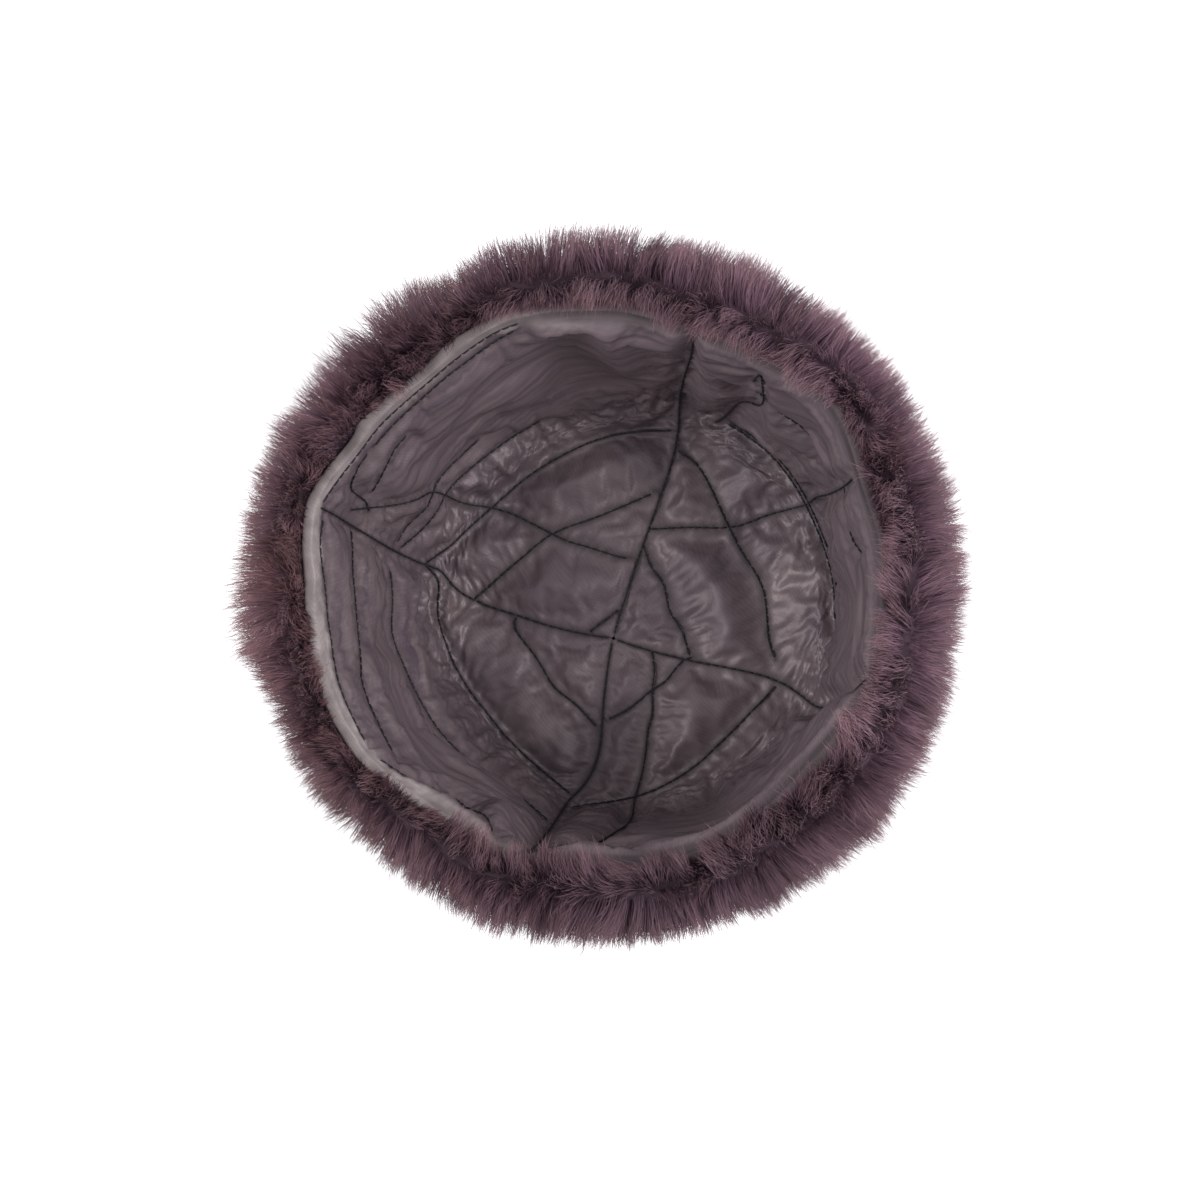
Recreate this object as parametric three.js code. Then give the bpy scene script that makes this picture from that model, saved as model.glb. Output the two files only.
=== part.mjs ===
// A round fur hat lying on its crown with the opening up: two fur pelts round the side, a fur
// crown pelt that the hat rests on, and a quilted lining of four gores sewn from crown to rim.
// Millimetres, +Z up. The origin is the middle of the flat face that the crown rests on.
// Angles are in degrees round Z from +X towards +Y. The front is towards -Y.
import * as THREE from "three";

// Sizes of the hollow that the head goes in
const openingWidth = 183; // inside the lining at the rim, left to right
const openingDepth = 178; // inside the lining at the rim, front to back
const hollowDepth = 95; // from the crown lining up to the edge of the rim
const crownRadius = 71; // from the middle of the crown to the turn up into the side

// Sizes of the layers
const liningThickness = 4; // satin on wadding
const layerGap = 0.3; // between lining and hide
const facetClearance = 0.35; // room for the flat facets of two round faces
const hideThickness = 1.6;
const pileLength = 16.5; // fur that stands off the hide
const pressedPileHeight = 6; // fur under the crown, pressed by the weight of the hat
const restRadius = 56; // flat face that the crown rests on
const seamGap = 0.3; // between pieces that are sewn edge to edge

// Sizes of the quilting and the seams
const quiltHeight = 2.8; // how far the wadding swells between two lines of quilting
const quiltWidth = 6.5; // from a line of quilting to most of that height
const goreHeight = 1.4; // how far the middle of a gore stands out from its seams
const gatherHeight = 1.4; // puckers round the turn of the crown
const foldHeight = 5; // height of a fold whose share is 1
const apexOffsetX = -8; // where the four gores meet, off the middle of the crown
const apexOffsetY = -10;
const apexClearance = 0.6; // from that point to the tip of each gore
const edgeHeight = 1.2; // how far the pelt rises past the edge of the lining
const foldOffset = 1.5; // from the inner face of the pelt to the middle of its fold

// Half-section of the hollow. On the floor "out" is a share of the crown's radius, on the wall
// it is a share of the way from there to the rim. "up" is a share of the hollow's depth.
const SECTION = [
  { zone: "floor", out: 0.0, up: 0.0 },
  { zone: "floor", out: 0.45, up: 0.0 },
  { zone: "floor", out: 0.84, up: 0.0 },
  { zone: "wall", out: 0.0, up: 0.06 },
  { zone: "wall", out: 0.32, up: 0.22 },
  { zone: "wall", out: 0.6, up: 0.48 },
  { zone: "wall", out: 0.83, up: 0.75 },
  { zone: "wall", out: 1.0, up: 1.0 },
];

// The soft rim isn't an exact oval: its reach at each angle as a share of the oval's.
const RIM_REACH = [
  { angle: 0, share: 1.0 },
  { angle: 18, share: 0.985 },
  { angle: 38, share: 1.035 },
  { angle: 56, share: 0.985 },
  { angle: 70, share: 0.965 },
  { angle: 90, share: 0.99 },
  { angle: 109, share: 1.01 },
  { angle: 130, share: 0.975 },
  { angle: 148, share: 0.995 },
  { angle: 164, share: 1.045 },
  { angle: 182, share: 1.005 },
  { angle: 212, share: 1.02 },
  { angle: 234, share: 0.985 },
  { angle: 250, share: 1.02 },
  { angle: 262, share: 0.985 },
  { angle: 290, share: 1.02 },
  { angle: 316, share: 0.985 },
  { angle: 340, share: 1.01 },
];

// Reach of the fur at each angle as a share of the pile, and how far it leans in over the rim.
// It's short at the two places where the side pelts meet.
const FUR_REACH = [
  { angle: 0, share: 1.06, lean: 104 },
  { angle: 15, share: 1.17, lean: 106 },
  { angle: 39, share: 0.88, lean: 112 },
  { angle: 64, share: 1.2, lean: 110 },
  { angle: 90, share: 1.11, lean: 104 },
  { angle: 105, share: 1.0, lean: 98 },
  { angle: 115, share: 0.82, lean: 95 },
  { angle: 127, share: 1.12, lean: 95 },
  { angle: 150, share: 1.06, lean: 94 },
  { angle: 168, share: 0.88, lean: 92 },
  { angle: 180, share: 1.02, lean: 92 },
  { angle: 204, share: 0.79, lean: 93 },
  { angle: 222, share: 0.82, lean: 96 },
  { angle: 245, share: 0.92, lean: 100 },
  { angle: 265, share: 1.16, lean: 102 },
  { angle: 288, share: 1.0, lean: 102 },
  { angle: 304, share: 1.14, lean: 102 },
  { angle: 318, share: 1.3, lean: 104 },
  { angle: 340, share: 1.07, lean: 104 },
];

// The seams between the gores: their angle on the crown, at its turn and at the rim
const LINING_SEAMS = [
  { crown: 76, turn: 77, rim: 69 },
  { crown: 178, turn: 168, rim: 164 },
  { crown: 256, turn: 251, rim: 255 },
  { crown: 333, turn: 331, rim: 340 },
];
const GORE_NAMES = [
  "lining_gore_back_left",
  "lining_gore_front_left",
  "lining_gore_front_right",
  "lining_gore_back_right",
];

// Lines of quilting, each through three places. A place is an angle and a share of the way from
// the point where the gores meet to the rim.
const QUILTING = [
  { angle: 176, share: 0.27, midAngle: 130, midShare: 0.17, endAngle: 77, endShare: 0.19 },
  { angle: 149, share: 0.56, midAngle: 143, midShare: 0.27, endAngle: 84, endShare: 0.11 },
  { angle: 168, share: 0.46, midAngle: 130, midShare: 0.29, endAngle: 78, endShare: 0.32 },
  { angle: 116, share: 0.49, midAngle: 142, midShare: 0.53, endAngle: 165, endShare: 0.62 },
  { angle: 179, share: 0.18, midAngle: 215, midShare: 0.15, endAngle: 255, endShare: 0.18 },
  { angle: 170, share: 0.42, midAngle: 208, midShare: 0.33, endAngle: 251, endShare: 0.38 },
  { angle: 171, share: 0.65, midAngle: 210, midShare: 0.6, endAngle: 250, endShare: 0.6 },
  { angle: 334, share: 0.12, midAngle: 298, midShare: 0.11, endAngle: 257, endShare: 0.16 },
  { angle: 331, share: 0.26, midAngle: 295, midShare: 0.27, endAngle: 252, endShare: 0.45 },
  { angle: 297, share: 0.11, midAngle: 275, midShare: 0.24, endAngle: 269, endShare: 0.6 },
  { angle: 77, share: 0.13, midAngle: 25, midShare: 0.1, endAngle: 336, endShare: 0.12 },
  { angle: 76, share: 0.15, midAngle: 38, midShare: 0.22, endAngle: 29, endShare: 0.6 },
  { angle: 75, share: 0.28, midAngle: 28, midShare: 0.2, endAngle: 336, endShare: 0.24 },
  { angle: 60, share: 0.46, midAngle: 24, midShare: 0.41, endAngle: 354, endShare: 0.43 },
  { angle: 60, share: 0.72, midAngle: 45, midShare: 0.78, endAngle: 30, endShare: 0.68 },
];
const quiltSteps = 8; // straight steps along a line of quilting

// Folds and dents of the lining, positive towards the hollow. "from" and "to" are such shares.
const LINING_FOLDS = [
  { angle: 88, from: 0.66, to: 1.0, spread: 4, height: 0.6 },
  { angle: 99, from: 0.6, to: 0.92, spread: 8, height: -0.3 },
  { angle: 116, from: 0.62, to: 0.8, spread: 6, height: 0.5 },
  { angle: 154, from: 0.5, to: 0.72, spread: 5, height: 0.6 },
  { angle: 159, from: 0.72, to: 0.95, spread: 4, height: -0.35 },
  { angle: 172, from: 0.42, to: 0.62, spread: 5, height: 0.65 },
  { angle: 188, from: 0.55, to: 0.78, spread: 6, height: -0.25 },
  { angle: 222, from: 0.72, to: 0.98, spread: 9, height: -0.3 },
  { angle: 243, from: 0.78, to: 1.0, spread: 4, height: 0.7 },
  { angle: 262, from: 0.6, to: 0.9, spread: 6, height: -0.3 },
  { angle: 305, from: 0.42, to: 0.66, spread: 9, height: 0.35 },
  { angle: 326, from: 0.42, to: 0.62, spread: 5, height: 0.6 },
  { angle: 337, from: 0.48, to: 0.75, spread: 4, height: 0.6 },
  { angle: 12, from: 0.55, to: 0.85, spread: 6, height: 0.4 },
  { angle: 47, from: 0.6, to: 0.9, spread: 6, height: 0.4 },
  { angle: 56, from: 0.5, to: 0.8, spread: 5, height: -0.35 },
];
const gathersRound = 34; // puckers in the whole turn of the crown
const gatherPlace = 0.46; // middle of the puckers on the same scale
const gatherSpan = 0.09;
const rimStitching = 0.93; // where the stitching round the edge is on that scale
const seamBend = 0.2; // where the seams start to bend towards the turn of the crown
const floorEnd = 0.28; // where the floor of the crown starts to turn up
const turnEnd = 0.44; // where the turn has become the wall

// The pelts: where they are sewn, and how they are divided into locks
const PELT_SEAMS = { left: 116, right: 306 };
const crownSeamPlace = 0.5; // along the section, where the crown pelt meets the side
const bodyShare = 0.55; // closed body of the fur, below the tips of its locks
const locksRound = 66;
const locksUpWall = 9;
const locksOverRim = 3;
const locksAroundCrown = 54;
const locksUpCrown = 4;
const lockWander = 0.3; // the most that its corners stray, as a share of the space between locks
const lockLean = 0.32; // lean of a lock towards the rim, as a share of its height
const lockSway = 0.34; // the most that it leans sideways, as such a share
const lockSpread = 0.35; // the most that its height is above or below the usual one
const tipClearance = 0.3; // lowest tip above the surface that the hat lies on

// Divisions of the lining and of the hidden faces
const goreColumns = 20;
const rowsOnFloor = 7;
const rowsRoundTurn = 6;
const rowsUpWall = 9;
const backColumns = 8;
const backRows = 12; // also of the hides, so that they follow the lining

const colours = { satin: "#554a4c", furSide: "#4f363a", furCrown: "#4a3337" };

const liningBack = liningThickness + layerGap + facetClearance; // inner face of the pelts
const floorHeight = liningBack + hideThickness + pressedPileHeight; // crown lining above the rest face
const furBody = hideThickness + bodyShare * pileLength;
const lockHeight = (1 - bodyShare) * pileLength;
const goreLength = crownRadius + hollowDepth; // about the length of a gore laid flat
const crownMiddle = new THREE.Vector3(0, 0, 0);
const backPlaces = Array.from({ length: backRows }, (_, i) => (i + 1) / backRows);
const crownPlaces = backPlaces.filter((place) => place < crownSeamPlace);
const sidePlaces = backPlaces.filter((place) => place > crownSeamPlace);

const radians = THREE.MathUtils.degToRad;
const mix = THREE.MathUtils.lerp;
const smooth = THREE.MathUtils.smoothstep;

// A repeatable number from 0 to 1 for a pair of counts.
function scatter(i, j) {
  const s = Math.sin(i * 12.9898 + j * 78.233) * 43758.5453;
  return s - Math.floor(s);
}

// Reads a column of a table at an angle, easing from row to row round the whole turn.
function atAngle(table, column, angle) {
  const turn = 360;
  const a = ((angle % turn) + turn) % turn;
  let next = table.findIndex((row) => row.angle > a);
  if (next < 0) next = 0;
  const before = table[(next + table.length - 1) % table.length];
  const after = table[next];
  const width = (after.angle - before.angle + turn) % turn;
  const done = (a - before.angle + turn) % turn;
  return mix(before[column], after[column], smooth(done / width, 0, 1));
}

// How far a corner between locks strays, as a share of the space between them.
function wander(i, j) {
  return lockWander * (2 * scatter(i, j) - 1);
}

function rimRadius(angle) {
  const x = Math.cos(radians(angle)) / (openingWidth / 2);
  const y = Math.sin(radians(angle)) / (openingDepth / 2);
  return atAngle(RIM_REACH, "share", angle) / Math.hypot(x, y);
}

// The half-section of the hollow at one angle, as a curve in the plane of radius and height.
function sectionAt(angle) {
  const rim = rimRadius(angle);
  const points = SECTION.map((row) => {
    const start = row.zone === "floor" ? 0 : crownRadius;
    const end = row.zone === "floor" ? crownRadius : rim;
    return new THREE.Vector2(mix(start, end, row.out), floorHeight + row.up * hollowDepth);
  });
  return new THREE.SplineCurve(points);
}

// A point of the section and the direction there that leads away from the hollow.
function station(section, place) {
  const at = section.getPoint(place);
  const along = section.getTangent(place);
  return { at, away: new THREE.Vector2(along.y, -along.x) };
}

function offsetStation({ at, away }, distance) {
  return at.clone().addScaledVector(away, distance);
}

function intoSpace(flat, angle, middle = crownMiddle) {
  const a = radians(angle);
  return new THREE.Vector3(
    middle.x + flat.x * Math.cos(a),
    middle.y + flat.x * Math.sin(a),
    flat.y,
  );
}

// The gores meet off the middle of the crown, so their own middle moves there on its floor.
function goreMiddle(place) {
  const share = 1 - smooth(place, 0, floorEnd);
  return new THREE.Vector3(apexOffsetX * share, apexOffsetY * share, 0);
}

// Collects points and triangles, and turns them into a closed geometry that faces outwards.
class Skin {
  constructor() {
    this.points = [];
    this.faces = [];
  }

  add(point) {
    return this.points.push(point) - 1;
  }

  quad(a, b, c, d) {
    this.faces.push([a, b, c], [a, c, d]);
  }

  fan(tip, ring) {
    for (let i = 0; i + 1 < ring.length; i++) this.faces.push([tip, ring[i], ring[i + 1]]);
  }

  span(i, j) {
    if (i === undefined || j === undefined) return Infinity;
    return this.points[i].distanceTo(this.points[j]);
  }

  // Triangles between two edges that run the same way with different numbers of points.
  zip(first, second) {
    let i = 0;
    let j = 0;
    while (i + 1 < first.length || j + 1 < second.length) {
      if (this.span(first[i + 1], second[j]) <= this.span(first[i], second[j + 1])) {
        this.faces.push([first[i], first[i + 1], second[j]]);
        i++;
      } else {
        this.faces.push([first[i], second[j + 1], second[j]]);
        j++;
      }
    }
  }

  geometry() {
    const volume = this.faces.reduce((sum, [a, b, c]) => {
      const [p, q, r] = [this.points[a], this.points[b], this.points[c]];
      return sum + p.dot(new THREE.Vector3().crossVectors(q, r));
    }, 0);
    const index = this.faces.flatMap(([a, b, c]) => (volume < 0 ? [a, c, b] : [a, b, c]));
    const made = new THREE.BufferGeometry().setFromPoints(this.points);
    made.setIndex(index);
    made.computeVertexNormals();
    return made;
  }
}

// Places along the section of the rows of a gore, closer together where the quilting is.
function goreRows() {
  const parts = [
    { from: 0, to: floorEnd, rows: rowsOnFloor },
    { from: floorEnd, to: turnEnd, rows: rowsRoundTurn },
    { from: turnEnd, to: rimStitching, rows: rowsUpWall },
    { from: rimStitching, to: 1, rows: 2 },
  ];
  return parts.flatMap(({ from, to, rows }) =>
    Array.from({ length: rows }, (_, i) => mix(from, to, (i + 1) / rows)),
  );
}

// The lining laid flat, in millimetres from the point where its gores meet.
function laidFlat(angle, share) {
  const reach = share * goreLength;
  return new THREE.Vector2(reach * Math.cos(radians(angle)), reach * Math.sin(radians(angle)));
}

const quiltPaths = QUILTING.map((row) =>
  new THREE.SplineCurve([
    laidFlat(row.angle, row.share),
    laidFlat(row.midAngle, row.midShare),
    laidFlat(row.endAngle, row.endShare),
  ]).getPoints(quiltSteps),
);

function distanceToStep(point, from, to) {
  const step = to.clone().sub(from);
  const along = THREE.MathUtils.clamp(point.clone().sub(from).dot(step) / step.lengthSq(), 0, 1);
  return point.distanceTo(from.clone().addScaledVector(step, along));
}

// Distance on the flat lining to the nearest stitching.
function distanceToStitching(angle, place) {
  const point = laidFlat(angle, place);
  const toRim = Math.abs(rimStitching - place) * goreLength;
  const distances = quiltPaths.flatMap((path) =>
    path.slice(1).map((end, i) => distanceToStep(point, path[i], end)),
  );
  return Math.min(toRim, ...distances);
}

// How far the lining stands into the hollow, at a share of the way across a gore.
function liningRelief(angle, place, across) {
  const gore = Math.sin(Math.PI * across) ** 0.6;
  const edge = 1 - smooth(place, rimStitching, 1);
  const puff = quiltHeight * (1 - Math.exp(-((distanceToStitching(angle, place) / quiltWidth) ** 2)));
  const swell = goreHeight * smooth(place, 0, floorEnd);
  const round = Math.sin(radians(angle) * gathersRound + 2 * Math.sin(radians(3 * angle)));
  const gathers = gatherHeight * round * Math.exp(-(((place - gatherPlace) / gatherSpan) ** 2));
  const folds = LINING_FOLDS.reduce((sum, fold) => {
    const turn = Math.abs(((angle - fold.angle + 540) % 360) - 180);
    const middle = (fold.from + fold.to) / 2;
    const along = Math.abs(place - middle) / (fold.to - fold.from);
    const share = Math.exp(-((turn / fold.spread) ** 2)) * (1 - smooth(along, 0.25, 0.6));
    return sum + fold.height * foldHeight * share;
  }, 0);
  return gore * edge * Math.max(swell + puff + gathers + folds, -0.4 * liningThickness);
}

// One gore of the lining: a quilted face, a plain back, and a rolled edge at the rim.
function liningGore(seam, nextSeam) {
  const skin = new Skin();
  const seamAngle = (row, place) => {
    const low = mix(row.crown, row.turn, smooth(place, seamBend, turnEnd));
    return mix(low, row.rim, smooth(place, turnEnd, 1));
  };
  const span = (place, radius) => {
    const start = seamAngle(seam, place);
    const full = (seamAngle(nextSeam, place) - start + 360) % 360;
    const trim = THREE.MathUtils.radToDeg(seamGap / 2 / radius);
    return { start: start + trim, width: full - 2 * trim };
  };
  const row = (place, columns, shape) => {
    const roughRadius = sectionAt(span(place, crownRadius).start).getPoint(place).x;
    const { start, width } = span(place, roughRadius);
    return Array.from({ length: columns + 1 }, (_, i) => {
      const angle = start + (width * i) / columns;
      return skin.add(shape(angle, place, i / columns));
    });
  };
  const face = (angle, place, across) => {
    const flat = offsetStation(station(sectionAt(angle), place), -liningRelief(angle, place, across));
    return intoSpace(flat, angle, goreMiddle(place));
  };
  const back = (angle, place) => {
    const flat = offsetStation(station(sectionAt(angle), place), liningThickness);
    return intoSpace(flat, angle, goreMiddle(place));
  };
  const rolled = (share) => (angle) => {
    const { at, away } = station(sectionAt(angle), 1);
    const turn = Math.PI * share;
    const out = (liningThickness / 2) * (1 - Math.cos(turn));
    const rise = (liningThickness / 2) * Math.sin(turn);
    return intoSpace(at.clone().addScaledVector(away, out).setY(at.y + rise), angle);
  };
  const bisector = seamAngle(seam, 0) + span(0, crownRadius).width / 2;
  const tipAt = (height) =>
    skin.add(intoSpace(new THREE.Vector2(apexClearance, height), bisector, goreMiddle(0)));

  const faceTip = tipAt(floorHeight);
  const backTip = tipAt(floorHeight - liningThickness);
  const faceRows = goreRows().map((place) => row(place, goreColumns, face));
  const backLines = backPlaces.map((place) => row(place, backColumns, back));
  const rolls = [1 / 3, 2 / 3].map((share) => row(1, goreColumns, rolled(share)));

  const weave = (lines) => {
    for (let r = 0; r + 1 < lines.length; r++) {
      for (let c = 0; c + 1 < lines[r].length; c++) {
        skin.quad(lines[r][c], lines[r][c + 1], lines[r + 1][c + 1], lines[r + 1][c]);
      }
    }
  };
  skin.fan(faceTip, [...faceRows[0]].reverse());
  weave([...faceRows, ...rolls]);
  const reversed = backLines.map((line) => [...line].reverse());
  skin.fan(backTip, [...reversed[0]].reverse());
  weave(reversed);
  skin.zip(rolls[1], backLines[backLines.length - 1]);
  const edges = (pick) => [
    [faceTip, ...[...faceRows, ...rolls].map(pick)],
    [backTip, ...backLines.map(pick)],
  ];
  const [startFace, startBack] = edges((line) => line[0]);
  const [endFace, endBack] = edges((line) => line[line.length - 1]);
  skin.zip(startFace, startBack);
  skin.zip(endBack, endFace);
  return skin.geometry();
}

// The tip of a lock: off the middle of its cell along the fur, leaning towards the rim.
function lockTip(corners, reach, seedA, seedB) {
  const middle = new THREE.Vector3();
  corners.forEach((p) => middle.addScaledVector(p, 1 / corners.length));
  const [a, b, c, d] = corners;
  const across = new THREE.Vector3().subVectors(b, a).add(new THREE.Vector3().subVectors(c, d));
  const up = new THREE.Vector3().subVectors(d, a).add(new THREE.Vector3().subVectors(c, b));
  const out = new THREE.Vector3().crossVectors(across, up).normalize();
  up.normalize();
  across.normalize();
  const height = reach * (1 + lockSpread * (2 * scatter(seedA, seedB) - 1));
  const sway = lockSway * (2 * scatter(seedB, seedA + 7) - 1);
  const lean = lockLean * (0.4 + 1.2 * scatter(seedA + 3, seedB + 5));
  const tip = middle
    .addScaledVector(out, height)
    .addScaledVector(up, reach * lean)
    .addScaledVector(across, reach * sway);
  tip.z = Math.max(tip.z, tipClearance);
  return tip;
}

// Adds a lock over the cell between two columns and two rows of a pelt.
function lockOver(skin, cell, reach, seedA, seedB) {
  const corners = cell.map((index) => skin.points[index]);
  const tip = skin.add(lockTip(corners, reach, seedA, seedB));
  skin.fan(tip, [...cell, cell[0]]);
}

// The closed outline of a side pelt at one angle, in two parts: against the lining, and outside,
// where the locks are.
function peltOutline(angle, seed) {
  const section = sectionAt(angle);
  const reach = atAngle(FUR_REACH, "share", angle);
  const lean = atAngle(FUR_REACH, "lean", angle);
  const seamPlace = crownSeamPlace + seamGap / hollowDepth;
  const body = hideThickness + (furBody - hideThickness) * reach;
  const inner = [seamPlace, ...sidePlaces].map((place) =>
    offsetStation(station(section, place), liningBack),
  );
  const rim = station(section, 1);
  const foldMiddle = offsetStation(rim, liningBack + foldOffset);
  foldMiddle.y += edgeHeight;
  inner.push(offsetStation(rim, liningBack).setY(foldMiddle.y));
  const lowest = THREE.MathUtils.radToDeg(Math.atan2(rim.away.y, rim.away.x));
  const overRim = Array.from({ length: locksOverRim + 1 }, (_, i) => {
    const turn = radians(mix(lean, lowest, i / locksOverRim));
    const arm = new THREE.Vector2(Math.cos(turn), Math.sin(turn));
    return foldMiddle.clone().addScaledVector(arm, body);
  });
  const wall = Array.from({ length: locksUpWall }, (_, i) => {
    const stray = i + 1 < locksUpWall ? wander(seed, i) : 0;
    const place = mix(1, seamPlace, (i + 1 + stray) / locksUpWall);
    return offsetStation(station(section, place), liningBack + foldOffset + body);
  });
  return { inner, outer: [...overRim, ...wall], reach };
}

// A side pelt from one seam to the next, with its locks.
function sidePelt(from, to, seed) {
  const skin = new Skin();
  const trim = THREE.MathUtils.radToDeg(seamGap / 2 / crownRadius);
  const turn = ((to - from + 360) % 360) - 2 * trim;
  const columns = Math.round((locksRound * turn) / 360);
  const step = turn / columns;
  const angles = Array.from({ length: columns + 1 }, (_, i) => from + trim + step * i);
  const outlines = angles.map((angle, i) => peltOutline(angle, seed + i));
  const innerCount = outlines[0].inner.length;
  const count = innerCount + outlines[0].outer.length;
  const rings = outlines.map(({ inner, outer }, i) =>
    [...inner, ...outer].map((flat, k) => {
      const free = i > 0 && i < columns && k > innerCount && k + 1 < count;
      return skin.add(intoSpace(flat, angles[i] + (free ? step * wander(k, seed + i) : 0)));
    }),
  );
  for (let i = 0; i < columns; i++) {
    for (let k = 0; k < count; k++) {
      const next = (k + 1) % count;
      const cell = [rings[i][next], rings[i + 1][next], rings[i + 1][k], rings[i][k]];
      if (k >= innerCount && k + 1 < count) {
        lockOver(skin, cell, lockHeight * outlines[i].reach, seed + i, k);
      } else skin.quad(...cell);
    }
  }
  const cap = (ring, outline, flip) => {
    const contour = [...outline.inner, ...outline.outer];
    THREE.ShapeUtils.triangulateShape(contour, []).forEach(([a, b, c]) =>
      skin.faces.push(flip ? [ring[a], ring[c], ring[b]] : [ring[a], ring[b], ring[c]]),
    );
  };
  const wound = THREE.ShapeUtils.isClockWise([...outlines[0].inner, ...outlines[0].outer]);
  cap(rings[0], outlines[0], !wound);
  cap(rings[columns], outlines[columns], wound);
  return skin.geometry();
}

// The pelt over the crown, with a flat face where the hat's weight presses the fur.
function crownPelt() {
  const skin = new Skin();
  const step = 360 / locksAroundCrown;
  const angles = Array.from({ length: locksAroundCrown }, (_, i) => i * step);
  const ringOf = (shape) => angles.map((angle) => skin.add(intoSpace(shape(angle), angle)));
  const innerMiddle = skin.add(new THREE.Vector3(0, 0, floorHeight - liningBack));
  const restMiddle = skin.add(new THREE.Vector3(0, 0, 0));
  const innerRings = [...crownPlaces, crownSeamPlace].map((place) =>
    ringOf((angle) => offsetStation(station(sectionAt(angle), place), liningBack)),
  );
  const rest = ringOf(() => new THREE.Vector2(restRadius, 0));
  const edge = (angle) => {
    const body = hideThickness + (furBody - hideThickness) * atAngle(FUR_REACH, "share", angle);
    const seam = station(sectionAt(angle), crownSeamPlace);
    return offsetStation(seam, liningBack + foldOffset + body);
  };
  const outerRings = Array.from({ length: locksUpCrown }, (_, i) =>
    angles.map((angle, j) => {
      const free = i + 1 < locksUpCrown;
      const turn = (Math.PI / 2) * ((i + 1 + (free ? wander(i, j) : 0)) / locksUpCrown);
      const turned = angle + (free ? step * wander(j, i) : 0);
      const end = edge(turned);
      const out = mix(restRadius, end.x, Math.sin(turn));
      return skin.add(intoSpace(new THREE.Vector2(out, end.y * (1 - Math.cos(turn))), turned));
    }),
  );
  const rings = [...innerRings, ...[...outerRings].reverse(), rest];
  for (let r = 0; r + 1 < rings.length; r++) {
    for (let i = 0; i < locksAroundCrown; i++) {
      const next = (i + 1) % locksAroundCrown;
      const cell = [rings[r + 1][i], rings[r + 1][next], rings[r][next], rings[r][i]];
      if (r >= innerRings.length) {
        const reach = atAngle(FUR_REACH, "share", angles[i]);
        const height = lockHeight * reach * ((rings.length - 1 - r) / locksUpCrown);
        lockOver(skin, cell, height, i, r);
      } else skin.quad(...cell);
    }
  }
  const closed = (ring) => [...ring, ring[0]];
  skin.fan(innerMiddle, closed(innerRings[0]));
  skin.fan(restMiddle, closed(rest).reverse());
  return skin.geometry();
}

function piece(name, geometry, colour, roughness) {
  const material = new THREE.MeshStandardMaterial({ color: colour, roughness, metalness: 0 });
  const mesh = new THREE.Mesh(geometry, material);
  mesh.name = name;
  return mesh;
}

const hat = new THREE.Group();
GORE_NAMES.forEach((name, i) => {
  const gore = liningGore(LINING_SEAMS[i], LINING_SEAMS[(i + 1) % LINING_SEAMS.length]);
  hat.add(piece(name, gore, colours.satin, 0.4));
});
const { left, right } = PELT_SEAMS;
hat.add(piece("pelt_side_left", sidePelt(left, right, 0), colours.furSide, 0.9));
hat.add(piece("pelt_side_right", sidePelt(right, left, 100), colours.furSide, 0.9));
hat.add(piece("pelt_crown", crownPelt(), colours.furCrown, 0.9));

export default hat;
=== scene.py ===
"""A round fur hat lying on its crown with the opening up, on a pale floor in soft studio light.

The hat has a quilted satin lining of four gores, two fur pelts round the side and one over the
crown. Lengths are in millimetres until a mesh is written, which is in metres.
"""

from __future__ import annotations

import logging
from dataclasses import dataclass, field
from enum import Enum
from typing import Sequence

import bpy
import numpy as np
from mathutils import Matrix, Vector

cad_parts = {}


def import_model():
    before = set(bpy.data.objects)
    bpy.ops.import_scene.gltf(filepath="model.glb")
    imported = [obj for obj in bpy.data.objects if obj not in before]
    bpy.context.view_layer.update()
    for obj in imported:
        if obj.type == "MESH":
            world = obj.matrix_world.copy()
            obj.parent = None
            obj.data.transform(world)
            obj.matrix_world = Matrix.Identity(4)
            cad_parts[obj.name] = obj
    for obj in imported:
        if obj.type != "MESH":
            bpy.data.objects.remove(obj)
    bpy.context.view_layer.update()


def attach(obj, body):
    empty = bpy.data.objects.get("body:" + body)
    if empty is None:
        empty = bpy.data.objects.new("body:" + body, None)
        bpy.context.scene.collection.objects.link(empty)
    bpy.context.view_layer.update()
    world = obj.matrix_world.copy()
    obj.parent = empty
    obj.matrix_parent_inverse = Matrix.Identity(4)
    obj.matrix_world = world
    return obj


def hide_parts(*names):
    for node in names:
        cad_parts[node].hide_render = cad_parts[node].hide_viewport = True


log = logging.getLogger("fur_hat")

MM = 0.001
BODY = "root"
FUR_RADIUS = 100.0  # Ways round the hat are measured on a circle of about the fur's radius.
FLOOR_GAP = 0.3  # Lowest that fur may reach.
TWILL_SCALE = 420.0
CLUMP_SCALE = 160.0
Array = np.ndarray


class Slot(Enum):
    """Material slots."""

    SATIN = "satin"
    FUR_SIDE = "fur_side"
    FUR_CROWN = "fur_crown"


# --------------------------------------------------------------------------------------------
# Tables. Angles are in degrees round Z from +X towards +Y.
# --------------------------------------------------------------------------------------------

# Half-section of the hollow: (on the floor, out, up). On the floor "out" is a share of the crown's
# radius, on the wall it is a share of the way from there to the rim. "up" is a share of the depth.
SECTION = (
    (True, 0.0, 0.0),
    (True, 0.45, 0.0),
    (True, 0.84, 0.0),
    (False, 0.0, 0.06),
    (False, 0.32, 0.22),
    (False, 0.6, 0.48),
    (False, 0.83, 0.75),
    (False, 1.0, 1.0),
)

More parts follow.
